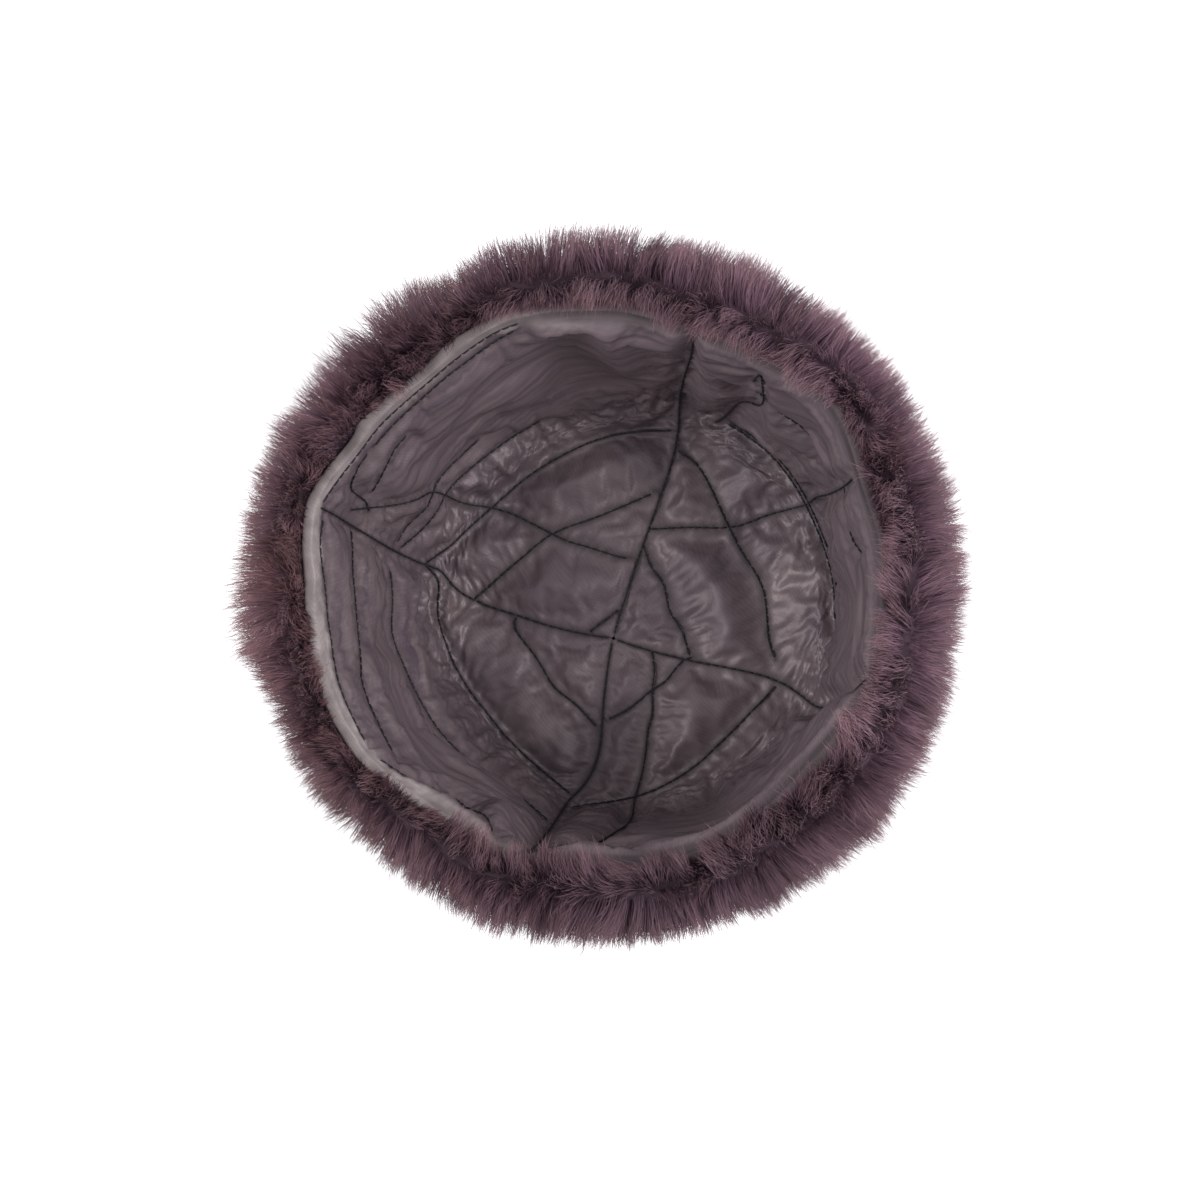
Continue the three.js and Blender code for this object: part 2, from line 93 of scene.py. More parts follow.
# Reach of the rim: (angle, share of the oval's).
RIM_REACH = (
    (0, 1.0), (18, 0.985), (38, 1.035), (56, 0.985), (70, 0.965), (90, 0.99), (109, 1.01),
    (130, 0.975), (148, 0.995), (164, 1.045), (182, 1.005), (212, 1.02), (234, 0.985),
    (250, 1.02), (262, 0.985), (290, 1.02), (316, 0.985), (340, 1.01),
)  # fmt: skip

# Reach of the fur: (angle, share of the pile, lean over the rim in degrees).
FUR_REACH = (
    (0, 0.97, 104), (15, 1.1, 106), (39, 0.88, 112), (64, 1.15, 110), (90, 1.07, 104),
    (105, 1.0, 98), (115, 0.82, 95), (127, 1.12, 95), (150, 1.06, 94), (168, 0.88, 92),
    (180, 1.06, 92), (204, 0.79, 93), (222, 0.82, 96), (245, 0.92, 100), (265, 1.1, 102),
    (288, 0.98, 102), (304, 1.12, 102), (318, 1.24, 104), (340, 1.0, 104),
)  # fmt: skip

# Where the fur starts on the fold over the rim: (angle, degrees above the outward direction).
FUR_EDGE = (
    (0, 97), (12, 90), (22, 94), (32, 113), (42, 119), (50, 110), (60, 100), (70, 94), (80, 80),
    (90, 90), (100, 103), (120, 117), (130, 112), (150, 106), (160, 104), (180, 111), (200, 104),
    (220, 104), (240, 115), (250, 105), (260, 88), (270, 87), (280, 89), (300, 105),
    (320, 84), (330, 91), (340, 98), (350, 98),
)  # fmt: skip

# Colour of the fur round the hat: (angle, lightness, warmth). The lightness is painted light and
# shade: lightest at the left and the back right, darkest at the front.
FUR_LIGHT_AND_TONE = (
    (0, 1.08, 0.0), (20, 1.26, 0.0), (40, 1.24, 0.0), (65, 1.1, 0.0), (90, 1.06, 0.05),
    (120, 1.0, 0.15), (150, 1.08, 0.15), (166, 1.16, 0.3), (178, 1.3, 0.45), (192, 1.1, 0.3),
    (215, 0.92, 0.3), (240, 0.84, 0.15), (270, 0.74, 0.0), (300, 0.8, 0.0), (330, 1.08, 0.0),
)  # fmt: skip

# How much painted highlight the rolled edge of the lining gets round the hat, most at the left
# where light catches it: (angle, share).
EDGE_HIGHLIGHT = (
    (0, 0.02), (60, 0.05), (95, 0.2), (108, 0.6), (150, 0.75), (162, 1.0), (225, 1.0),
    (245, 0.6), (262, 0.15), (300, 0.02),
)  # fmt: skip

# Folds and dents of the lining: (angle, from, to, spread in degrees, height as a share).
LINING_FOLDS = (
    (88, 0.66, 1.0, 4, 0.6),
    (99, 0.6, 0.92, 8, -0.3),
    (116, 0.62, 0.8, 6, 0.5),
    (154, 0.5, 0.72, 5, 0.6),
    (159, 0.72, 0.95, 4, -0.35),
    (172, 0.42, 0.62, 5, 0.65),
    (188, 0.55, 0.78, 6, -0.25),
    (222, 0.72, 0.98, 9, -0.3),
    (243, 0.78, 1.0, 4, 0.7),
    (262, 0.6, 0.9, 6, -0.3),
    (305, 0.42, 0.66, 9, 0.35),
    (326, 0.42, 0.62, 5, 0.6),
    (337, 0.48, 0.75, 4, 0.6),
    (12, 0.55, 0.85, 6, 0.4),
    (47, 0.6, 0.9, 6, 0.4),
    (56, 0.5, 0.8, 5, -0.35),
)

# Where the satin is bunched up: (angle, share of the way to the rim, spread in degrees, spread as
# a share).
BUNCHED = (
    (163.0, 0.7, 8.0, 0.12),
    (176.0, 0.5, 9.0, 0.1),
    (82.0, 0.5, 10.0, 0.09),
    (330.0, 0.55, 8.0, 0.1),
)

# Lines of stitching on the lining: each a list of (angle, share of the way from the point where
# the gores meet to the rim).
STITCHING = (
    ((176, 0.27), (170, 0.24), (154, 0.2), (132, 0.18), (102, 0.17), (78, 0.2)),
    ((162, 0.85), (158, 0.73), (150, 0.63), (148, 0.44), (142, 0.26), (130, 0.17), (112, 0.13),
     (80, 0.11)),
    ((168, 0.49), (157, 0.37), (145, 0.31), (124, 0.29), (99, 0.3), (78, 0.32)),
    ((116, 0.49), (132, 0.51), (148, 0.56), (154, 0.58), (160, 0.57), (166, 0.61)),
    ((132, 0.61), (146, 0.62), (156, 0.63), (166, 0.63)),
    ((142, 0.86), (147, 0.86), (152, 0.84), (157, 0.81)),
    ((150, 0.95), (154, 0.94), (158, 0.89), (159, 0.81), (161, 0.77)),
    ((163, 0.975), (150, 0.978), (138, 0.974), (126, 0.977), (114, 0.974), (106, 0.977)),
    ((148, 0.945), (138, 0.94), (128, 0.945), (120, 0.94), (112, 0.945), (107, 0.955)),
    ((166, 0.955), (172, 0.965), (182, 0.955), (190, 0.95), (201, 0.96), (214, 0.968)),
    ((166, 0.82), (177, 0.82), (193, 0.82), (201, 0.85), (214, 0.86), (218, 0.87)),
    ((172, 0.65), (187, 0.64), (204, 0.61), (222, 0.59), (243, 0.58), (251, 0.61)),
    ((168, 0.48), (172, 0.41), (182, 0.41), (197, 0.36), (214, 0.32), (226, 0.32), (241, 0.34),
     (251, 0.38)),
    ((179, 0.18), (186, 0.18), (202, 0.15), (222, 0.15), (239, 0.15), (254, 0.18)),
    ((172, 0.05), (136, 0.04), (84, 0.05)),
    ((76, 0.13), (65, 0.11), (45, 0.1), (20, 0.09), (358, 0.1), (334, 0.12)),
    ((76, 0.15), (57, 0.17), (40, 0.21), (35, 0.26), (32, 0.33), (30, 0.44), (29, 0.54),
     (24, 0.79), (22, 0.95)),
    ((75, 0.27), (65, 0.25), (46, 0.21), (32, 0.2), (10, 0.21), (348, 0.22), (340, 0.24)),
    ((62, 0.46), (50, 0.45), (38, 0.43), (23, 0.41), (8, 0.42), (354, 0.43)),
    ((62, 0.48), (50, 0.47), (38, 0.45), (23, 0.43), (8, 0.44), (354, 0.45)),
    ((58, 0.75), (52, 0.79), (46, 0.77), (39, 0.74), (32, 0.69)),
    ((24, 0.8), (20, 0.79), (14, 0.77), (8, 0.81)),
    ((66, 0.43), (60, 0.62), (54, 0.68), (52, 0.8), (53, 0.91), (55, 0.84)),
    ((336, 0.12), (330, 0.11), (310, 0.11), (296, 0.11), (274, 0.13), (258, 0.16)),
    ((333, 0.07), (311, 0.09), (297, 0.11), (286, 0.15), (277, 0.2), (270, 0.35), (270, 0.57),
     (268, 0.67), (266, 0.86)),
    ((331, 0.26), (318, 0.25), (300, 0.26), (290, 0.28), (271, 0.34), (253, 0.45)),
    ((256, 0.94), (260, 0.93), (264, 0.87), (276, 0.89)),
    ((218, 0.97), (224, 0.92), (229, 0.89), (234, 0.87), (240, 0.9), (247, 0.95)),
)  # fmt: skip


class Seam(Enum):
    """Seams between the gores: their angle on the crown, at its turn and at the rim."""

    BACK = (76.0, 77.0, 69.0)
    LEFT = (178.0, 168.0, 164.0)
    FRONT = (256.0, 251.0, 255.0)
    RIGHT = (333.0, 331.0, 340.0)


# --------------------------------------------------------------------------------------------
# Numbers
# --------------------------------------------------------------------------------------------


def smooth(x: Array, low: float, high: float) -> Array:
    """Ease from 0 at low to 1 at high."""
    t = np.clip((np.asarray(x, float) - low) / (high - low), 0.0, 1.0)
    return t * t * (3.0 - 2.0 * t)


def bell(x: Array, width: float) -> Array:
    """A bell curve that is 1 at 0 and is spread over a width to each side."""
    return np.exp(-((x / width) ** 2))


def unit(v: Array) -> Array:
    """Scale vectors along the last axis to length 1."""
    return v / np.maximum(np.linalg.norm(v, axis=-1, keepdims=True), 1e-9)


def around(radius: Array, angle: Array, height: Array) -> Array:
    """Points at a distance from the axis, an angle in degrees and a height."""
    a = np.radians(angle)
    return np.stack([radius * np.cos(a), radius * np.sin(a), height], -1)


def at_angle(table: Sequence[Sequence[float]], column: int, angle: Array) -> Array:
    """Read a column of a table at an angle, easing from row to row round the whole turn.

    Args:
        table: Rows that start with an angle in degrees, in rising order.
        column: Which value of a row to read.
        angle: Angles in degrees.

    Returns:
        The eased values.
    """
    turn = np.mod(np.asarray(angle, float), 360.0)
    stops = np.array([row[0] for row in table], float)
    values = np.array([row[column] for row in table], float)
    after = np.searchsorted(stops, turn, side="right") % len(stops)
    before = (after - 1) % len(stops)
    width = np.mod(stops[after] - stops[before], 360.0)
    share = smooth(np.mod(turn - stops[before], 360.0) / width, 0.0, 1.0)
    return values[before] * (1.0 - share) + values[after] * share


def lattice(i: Array, j: Array, k: Array, seed: int) -> Array:
    """Give each point of a lattice its own repeatable number.

    Args:
        i: First count.
        j: Second count.
        k: Third count.
        seed: Which set of numbers.

    Returns:
        Numbers from 0 to 1.
    """
    with np.errstate(over="ignore"):
        h = (np.asarray(i).astype(np.int64) * 374761393) & 0xFFFFFFFF
        h = (h + np.asarray(j).astype(np.int64) * 668265263) & 0xFFFFFFFF
        h = (h + np.asarray(k).astype(np.int64) * 2147483629 + seed * 974711) & 0xFFFFFFFF
        h = ((h ^ (h >> 13)) * 1274126177) & 0xFFFFFFFF
        h = ((h ^ (h >> 16)) * 2246822519) & 0xFFFFFFFF
    return ((h ^ (h >> 15)) & 0xFFFFFF) / float(0xFFFFFF)


def noise(points: Array, size: float, seed: int) -> Array:
    """Smooth repeatable noise in space.

    Args:
        points: Points, one per row.
        size: Size of its lumps.
        seed: Which noise.

    Returns:
        Values from -1 to 1.
    """
    p = np.asarray(points, float) / size
    base = np.floor(p)
    f = p - base
    f = f * f * (3.0 - 2.0 * f)
    total = np.zeros(len(p))
    for corner in range(8):
        step = np.array([corner & 1, corner >> 1 & 1, corner >> 2 & 1])
        weight = np.prod(np.where(step, f, 1.0 - f), axis=1)
        cell = base + step
        total += weight * lattice(cell[:, 0], cell[:, 1], cell[:, 2], seed)
    return 2.0 * total - 1.0


def flat_noise(x: Array, y: Array | float, size: float, seed: int) -> Array:
    """The same noise over a plane, or along a line where y is one number."""
    return noise(np.stack([x, 0 * x + y, 0 * x], 1), size, seed)


def ridged(points: Array, size: float, seed: int) -> Array:
    """Noise with sharp crests, as in crumpled cloth.

    Args:
        points: Points, one per row.
        size: Size of its lumps.
        seed: Which noise.

    Returns:
        Values from about -0.6 to 0.4, highest on the crests.
    """
    warp = np.stack([noise(points, size * 1.7, seed + k) for k in (1, 2, 3)], 1)
    bent = points + warp * size * 0.8
    crest = 1.0 - np.abs(noise(bent, size, seed)) * 2.2
    fine = 1.0 - np.abs(noise(bent, size * 0.47, seed + 7)) * 2.2
    return 0.65 * crest + 0.35 * fine - 0.6


def smooth_line(points: Array, steps: int) -> Array:
    """A smooth line through points.

    Args:
        points: The points, one per row.
        steps: Straight steps between two points.

    Returns:
        Points on the line.
    """
    p = np.vstack([2 * points[0] - points[1], points, 2 * points[-1] - points[-2]])
    t = np.linspace(0.0, 1.0, steps, endpoint=False)[:, None]
    parts = []
    for i in range(len(points) - 1):
        a, b, c, d = p[i : i + 4]
        parts.append(
            0.5
            * (
                2 * b
                + (c - a) * t
                + (2 * a - 5 * b + 4 * c - d) * t**2
                + (3 * b - a - 3 * c + d) * t**3
            )
        )
    return np.vstack([*parts, points[-1:]])


# --------------------------------------------------------------------------------------------
# The form of the hat
# --------------------------------------------------------------------------------------------


@dataclass(frozen=True)
class HatForm:
    """The hollow, its layers and the outline of the fur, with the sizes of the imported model.

    Attributes:
        opening_width: Width of the opening at the lining's edge, left to right.
        opening_depth: The same, front to back.
        hollow_depth: Depth of the hollow.
        crown_radius: Radius of the crown inside.
        lining_thickness: Satin with its wadding.
        layer_gap: Gap between the lining and the hide.
        facet_clearance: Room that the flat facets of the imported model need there.
        hide_thickness: Thickness of the hide.
        pile_length: Length of the fur.
        pressed_pile: Height of the fur that the hat rests on.
        rest_radius: Radius of that place.
        quilt_height: How far the satin swells between two lines of stitching.
        quilt_width: How far from a line it takes to swell.
        gore_height: How far the middle of a gore swells.
        fold_height: Height of the folds and dents of the wall.
        seam_hold: How far to each side a seam holds the satin down.
        apex_offset: Where the gores meet, off the middle of the crown.
        edge_height: Height of the middle of the pelt's fold above the lining's stitched edge.
        fold_offset: Its distance from the hide behind the wall.
        floor_end: Share of the way to the rim where the flat of the crown ends.
        turn_end: Share where the wall starts.
        seam_bend: Share where the seams start to bend.
        rim_stitching: Share where the stitching of the rim holds the satin.
        crown_seam: Share where the crown pelt meets the side pelts.
    """

    opening_width: float = 183.0
    opening_depth: float = 178.0
    hollow_depth: float = 95.0
    crown_radius: float = 71.0
    lining_thickness: float = 4.0
    layer_gap: float = 0.3
    facet_clearance: float = 0.35
    hide_thickness: float = 1.6
    pile_length: float = 16.5
    pressed_pile: float = 6.0
    rest_radius: float = 56.0
    quilt_height: float = 2.8
    quilt_width: float = 6.5
    gore_height: float = 1.4
    fold_height: float = 5.0
    seam_hold: float = 9.0
    apex_offset: tuple[float, float] = (-8.0, -10.0)
    edge_height: float = 1.2
    fold_offset: float = 1.5
    floor_end: float = 0.28
    turn_end: float = 0.44
    seam_bend: float = 0.2
    rim_stitching: float = 0.93
    crown_seam: float = 0.5

    @property
    def lining_back(self) -> float:
        """Distance from the lining's face to the hide."""
        return self.lining_thickness + self.layer_gap + self.facet_clearance

    @property
    def floor_height(self) -> float:
        """Height of the crown lining above the floor that the hat lies on."""
        return self.lining_back + self.hide_thickness + self.pressed_pile

    @property
    def rim_height(self) -> float:
        """Height of the edge of the lining."""
        return self.floor_height + self.hollow_depth

    @property
    def gore_length(self) -> float:
        """About the length of a gore laid flat."""
        return self.crown_radius + self.hollow_depth

    def rim_radius(self, angle: Array) -> Array:
        """Radius of the lining's edge.

        Args:
            angle: Angles in degrees.

        Returns:
            Radii.
        """
        x = np.cos(np.radians(angle)) / (self.opening_width / 2)
        y = np.sin(np.radians(angle)) / (self.opening_depth / 2)
        return at_angle(RIM_REACH, 1, angle) / np.hypot(x, y)

    def section(self, angle: Array, place: Array) -> tuple[Array, Array]:
        """The half-section of the hollow.

        Args:
            angle: Angles in degrees.
            place: Shares of the way from the middle of the crown to the rim.

        Returns:
            Radii and heights.
        """
        angle, place = np.broadcast_arrays(np.asarray(angle, float), np.asarray(place, float))
        rim = self.rim_radius(angle)
        radii = np.stack([
            np.full_like(rim, out * self.crown_radius)
            if on_floor
            else self.crown_radius + (rim - self.crown_radius) * out
            for on_floor, out, _ in SECTION
        ])
        heights = np.stack([
            np.full_like(rim, self.floor_height + up * self.hollow_depth) for *_, up in SECTION
        ])
        last = len(SECTION) - 1
        spot = last * np.clip(place, 0.0, 1.0)
        i = np.minimum(np.floor(spot).astype(int), last - 1)
        t = spot - i
        picks = [np.clip(i + k, 0, last) for k in (-1, 0, 1, 2)]

        def blend(grid: Array) -> Array:
            """Read the section at each spot, on a smooth line through its points.

            Args:
                grid: A value for each point of the section.

            Returns:
                The values at the spots.
            """
            a, b, c, d = (np.take_along_axis(grid, pick[None], 0)[0] for pick in picks)
            v0, v1 = (c - a) * 0.5, (d - b) * 0.5
            cube, square = 2 * b - 2 * c + v0 + v1, -3 * b + 3 * c - 2 * v0 - v1
            return cube * t**3 + square * t**2 + v0 * t + b

        return blend(radii), blend(heights)

    def station(self, angle: Array, place: Array) -> tuple[Array, Array, Array, Array]:
        """A point of the section and the direction there that leads away from the hollow.

        Args:
            angle: Angles in degrees.
            place: Shares of the way from the middle of the crown to the rim.

        Returns:
            Radius, height, and the two parts of the direction.
        """
        step = 1e-4
        r, z = self.section(angle, place)
        r0, z0 = self.section(angle, np.asarray(place) - step)
        r1, z1 = self.section(angle, np.asarray(place) + step)
        length = np.hypot(r1 - r0, z1 - z0)
        return r, z, (z1 - z0) / length, -(r1 - r0) / length

    def lining(self, angle: Array, place: Array, out: Array | float = 0.0) -> Array:
        """A point on the face of the lining.

        Args:
            angle: Angles in degrees.
            place: Shares of the way from where the gores meet to the rim.
            out: Distance from the face, away from the hollow.

        Returns:
            Points, one per row.
        """
        r, z, away_r, away_z = self.station(angle, place)
        r, z = r + away_r * out, z + away_z * out
        share = 1.0 - smooth(place, 0.0, self.floor_end)
        a = np.radians(angle)
        x = self.apex_offset[0] * share + r * np.cos(a)
        y = self.apex_offset[1] * share + r * np.sin(a)
        return np.stack([x, y, z], -1)

    def edge_of_fur(self, angle: Array, up: float) -> Array:
        """Points where the fur meets the rolled edge of the lining.

        Args:
            angle: Angles in degrees.
            up: Height above the lining's stitched edge.

        Returns:
            The points.
        """
        r, z, away_r, away_z = self.station(angle, np.ones_like(angle))
        out = self.lining_thickness + 0.2
        return around(r + away_r * out, angle, z + away_z * out + up)

    def seam_angle(self, seam: Seam, place: Array) -> Array:
        """Where a seam runs.

        Args:
            seam: The seam.
            place: Shares of the way from where the gores meet to the rim.

        Returns:
            Angles in degrees.
        """
        crown, turn, rim = seam.value
        low = crown + (turn - crown) * smooth(place, self.seam_bend, self.turn_end)
        return low + (rim - low) * smooth(place, self.turn_end, 1.0)

    def flat(self, angle: Array, place: Array) -> Array:
        """The lining laid flat, as points in a plane."""
        reach, a = np.asarray(place) * self.gore_length, np.radians(angle)
        return np.stack([reach * np.cos(a), reach * np.sin(a)], -1)

    def unflat(self, flat: Array) -> tuple[Array, Array]:
        """The reverse of flat: angles in degrees and shares of the way to the rim."""
        angle = np.degrees(np.arctan2(flat[:, 1], flat[:, 0]))
        return angle, np.hypot(flat[:, 0], flat[:, 1]) / self.gore_length

    def folds(self, angle: Array, place: Array) -> Array:
        """Height of the folds and dents.

        Args:
            angle: Angles in degrees.
            place: Shares of the way to the rim.

        Returns:
            Heights into the hollow.
        """
        total = np.zeros(np.shape(angle))
        for middle, low, high, spread, height in LINING_FOLDS:
            turn = np.abs(np.mod(angle - middle + 540.0, 360.0) - 180.0)
            along = np.abs(place - (low + high) / 2) / (high - low)
            share = bell(turn, spread) * (1.0 - smooth(along, 0.25, 0.6))
            total = total + height * self.fold_height * share
        return total

    def relief(
        self, angle: Array, place: Array, to_seam: Array, extra: Array | float = 0.0
    ) -> Array:
        """Height of the lining's face into the hollow, with its swells and folds.

        Args:
            angle: Angles in degrees.
            place: Shares of the way to the rim.
            to_seam: Distances to the nearest seam.
            extra: Height of finer forms.

        Returns:
            Heights above the plain face.
        """
        low = 1.0 - bell(to_seam, self.seam_hold)
        rise = self.gore_height * smooth(place, 0.0, self.floor_end) * low + extra
        rise = rise + self.folds(angle, place) * low
        free = 1.0 - smooth(place, self.rim_stitching, 1.0)
        return free * np.maximum(rise, -0.4 * self.lining_thickness)


@dataclass(frozen=True)
class Outline:
    """The skin of a pelt, as a grid over the angle and the way along its section.

    Attributes:
        radius: Radius, a row for each section.
        height: Height above the floor.
        out_r: Part of the outward direction away from the axis.
        out_z: Part of the outward direction upwards.
        length: Length of each row's section.
    """

    radius: Array
    height: Array
    out_r: Array
    out_z: Array
    length: Array

    @staticmethod
    def from_lines(rows: Sequence[tuple[Array, Array, Array, Array]], samples: int) -> Outline:
        """Space the points of each section evenly.

        Args:
            rows: Radius, height and outward direction along each section.
            samples: Points that each section gets.

        Returns:
            The outline.
        """
        grids: list[list[Array]] = [[], [], [], []]
        lengths = []
        for row in rows:
            along = np.concatenate([[0.0], np.cumsum(np.hypot(np.diff(row[0]), np.diff(row[1])))])
            lengths.append(along[-1])
            spots = np.linspace(0.0, along[-1], samples)
            for grid, values in zip(grids, row):
                grid.append(np.interp(spots, along, values))
        return Outline(*(np.array(grid) for grid in grids), np.array(lengths))

    def at(self, angle: Array, along: Array) -> tuple[Array, Array, Array, Array]:
        """A point of the skin with its directions.

        Args:
            angle: Angles in degrees.
            along: Shares of the way along the section.

        Returns:
            Points, outward directions, directions along the section, and directions round the hat.
        """
        rows, columns = self.radius.shape
        a = np.mod(angle, 360.0) / 360.0 * rows
        b = np.clip(along, 0.0, 1.0) * (columns - 1)
        i, j = np.floor(a).astype(int), np.minimum(np.floor(b).astype(int), columns - 2)
        u, v = a - i, b - j

        def read(grid: Array) -> Array:
            """Read a grid between its rows and columns.

            Args:
                grid: One of the outline's grids.

            Returns:
                The values at the places asked for.
            """
            i0, i1 = i % rows, (i + 1) % rows
            low = grid[i0, j] * (1 - v) + grid[i0, j + 1] * v
            high = grid[i1, j] * (1 - v) + grid[i1, j + 1] * v
            return low * (1 - u) + high * u

        r, z, out_r, out_z = (read(g) for g in (self.radius, self.height, self.out_r, self.out_z))
        c, s = np.cos(np.radians(angle)), np.sin(np.radians(angle))
        point = around(r, angle, z)
        outward = unit(np.stack([out_r * c, out_r * s, out_z], -1))
        way = unit(np.stack([out_z * c, out_z * s, -out_r], -1))
        return point, outward, way, np.stack([-s, c, np.zeros_like(c)], -1)


@dataclass(frozen=True)
class PeltForm:
    """The skins of the pelts, at a share of the pile.

    Attributes:
        form: The form of the hat.
        samples: Points along a section.
        spacing: Degrees between two sections.
        turn_steps: Points over a turn, before a section is spaced evenly.
        wall_steps: Points down the wall.
        rest_steps: Points across the face that the hat rests on.
    """

    form: HatForm
    samples: int = 96
    spacing: float = 0.5
    turn_steps: int = 40
    wall_steps: int = 60
    rest_steps: int = 20

    def body(self, angle: Array, share: float) -> Array:
        """Distance from the middle of the fold to the skin above a share of the pile."""
        reach = at_angle(FUR_REACH, 1, angle)
        return self.form.hide_thickness + share * self.form.pile_length * reach

    def side(self, share: float) -> Outline:
        """The side pelts, from their inner edge over the rim and down to the crown.

        Args:
            share: Share of the pile below the skin.

        Returns:
            The outline.
        """
        form, rows = self.form, []
        for angle in np.arange(0.0, 360.0, self.spacing):
            r, z, away_r, away_z = form.station(angle, np.array([1.0]))
            body = float(self.body(angle, share))
            lowest = np.arctan2(away_z[0], away_r[0])
            highest = np.radians(at_angle(FUR_EDGE, 1, angle))
            turn = np.linspace(highest, lowest, self.turn_steps)
            middle = form.lining_back + form.fold_offset
            fold_r, fold_z = r[0] + away_r[0] * middle, z[0] + away_z[0] * middle + form.edge_height
            place = np.linspace(1.0, form.crown_seam, self.wall_steps)[1:]
            wall = form.station(np.full(len(place), angle), place)
            out = middle + body
            rows.append((
                np.concatenate([fold_r + body * np.cos(turn), wall[0] + wall[2] * out]),
                np.concatenate([fold_z + body * np.sin(turn), wall[1] + wall[3] * out]),
                np.concatenate([np.cos(turn), wall[2]]),
                np.concatenate([np.sin(turn), wall[3]]),
            ))
        return Outline.from_lines(rows, self.samples)

    def crown(self, share: float) -> Outline:
        """The crown pelt, from the seam with the side down to the middle of the rest face.

        Args:
            share: Share of the pile below the skin.

        Returns:
            The outline.
        """
        form, rows = self.form, []
        for angle in np.arange(0.0, 360.0, self.spacing):
            r, z, away_r, away_z = (v[0] for v in form.station(angle, np.array([form.crown_seam])))
            out = form.lining_back + form.fold_offset + float(self.body(angle, share))
            end_r, end_z = r + away_r * out, z + away_z * out
            lift = (1.0 - share) * form.pressed_pile * 0.5
            turn = np.linspace(np.pi / 2, 0.0, self.turn_steps)
            radius = form.rest_radius + (end_r - form.rest_radius) * np.sin(turn)
            height = lift + (end_z - lift) * (1.0 - np.cos(turn))
            flat = np.linspace(form.rest_radius, 1.0, self.rest_steps)[1:]
            out_r = np.concatenate([np.sin(turn), np.zeros(len(flat))])
            out_z = np.concatenate([-np.cos(turn), np.full(len(flat), -1.0)])
            out_z[0] = -0.3
            rows.append((
                np.concatenate([radius, flat]),
                np.concatenate([height, np.full(len(flat), lift)]),
                out_r,
                out_z,
            ))
        return Outline.from_lines(rows, self.samples)


# --------------------------------------------------------------------------------------------
# Meshes
# --------------------------------------------------------------------------------------------


def write_mesh(
    name: str, points: Array, faces: Sequence[Array], values: dict[str, Array] | None = None
) -> bpy.types.Object:
    """Make a smooth-shaded mesh object from arrays.

    Args:
        name: Name of the object.
        points: Points in millimetres, one per row.
        faces: Arrays of faces, each with one number of corners.
        values: Named numbers, one for each point.

    Returns:
        The object.
    """
    mesh = bpy.data.meshes.new(name)
    corners = np.concatenate([f.ravel() for f in faces]).astype(np.int32)
    totals = np.concatenate([np.full(len(f), f.shape[1]) for f in faces]).astype(np.int32)
    mesh.vertices.add(len(points))
    mesh.vertices.foreach_set("co", (np.asarray(points) * MM).astype(np.float32).ravel())
    mesh.loops.add(len(corners))
    mesh.loops.foreach_set("vertex_index", corners)
    mesh.polygons.add(len(totals))
    starts = np.concatenate([[0], np.cumsum(totals)[:-1]]).astype(np.int32)
    mesh.polygons.foreach_set("loop_start", starts)
    mesh.polygons.foreach_set("loop_total", totals)
    mesh.polygons.foreach_set("use_smooth", np.ones(len(totals), bool))
    for key, value in (values or {}).items():
        attribute = mesh.attributes.new(key, "FLOAT", "POINT")
        attribute.data.foreach_set("value", np.asarray(value, np.float32))
    mesh.update(calc_edges=True)
    made = bpy.data.objects.new(name, mesh)
    bpy.context.scene.collection.objects.link(made)
    return made


def dress(piece: bpy.types.Object, slot: Slot, material: bpy.types.Material, *nodes: str) -> None:
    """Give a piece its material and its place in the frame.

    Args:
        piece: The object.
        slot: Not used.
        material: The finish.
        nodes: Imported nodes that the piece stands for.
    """
    piece.data.materials.clear()
    piece.data.materials.append(material)
    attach(piece, BODY)
    if nodes:
        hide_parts(*nodes)


def grid_faces(rows: int, columns: int, wrap: bool = False) -> Array:
    """Four-cornered faces of a grid of points.

    Args:
        rows: Rows of points.
        columns: Points in a row.
        wrap: Whether the last row joins the first.

    Returns:
        The faces.
    """
    i = np.arange(rows if wrap else rows - 1)[:, None]
    j = np.arange(columns - 1)[None, :]
    here, there = i * columns + j, (i + 1) % rows * columns + j
    return np.stack([here, here + 1, there + 1, there], -1).reshape(-1, 4)


# --------------------------------------------------------------------------------------------
# Finishes
# --------------------------------------------------------------------------------------------


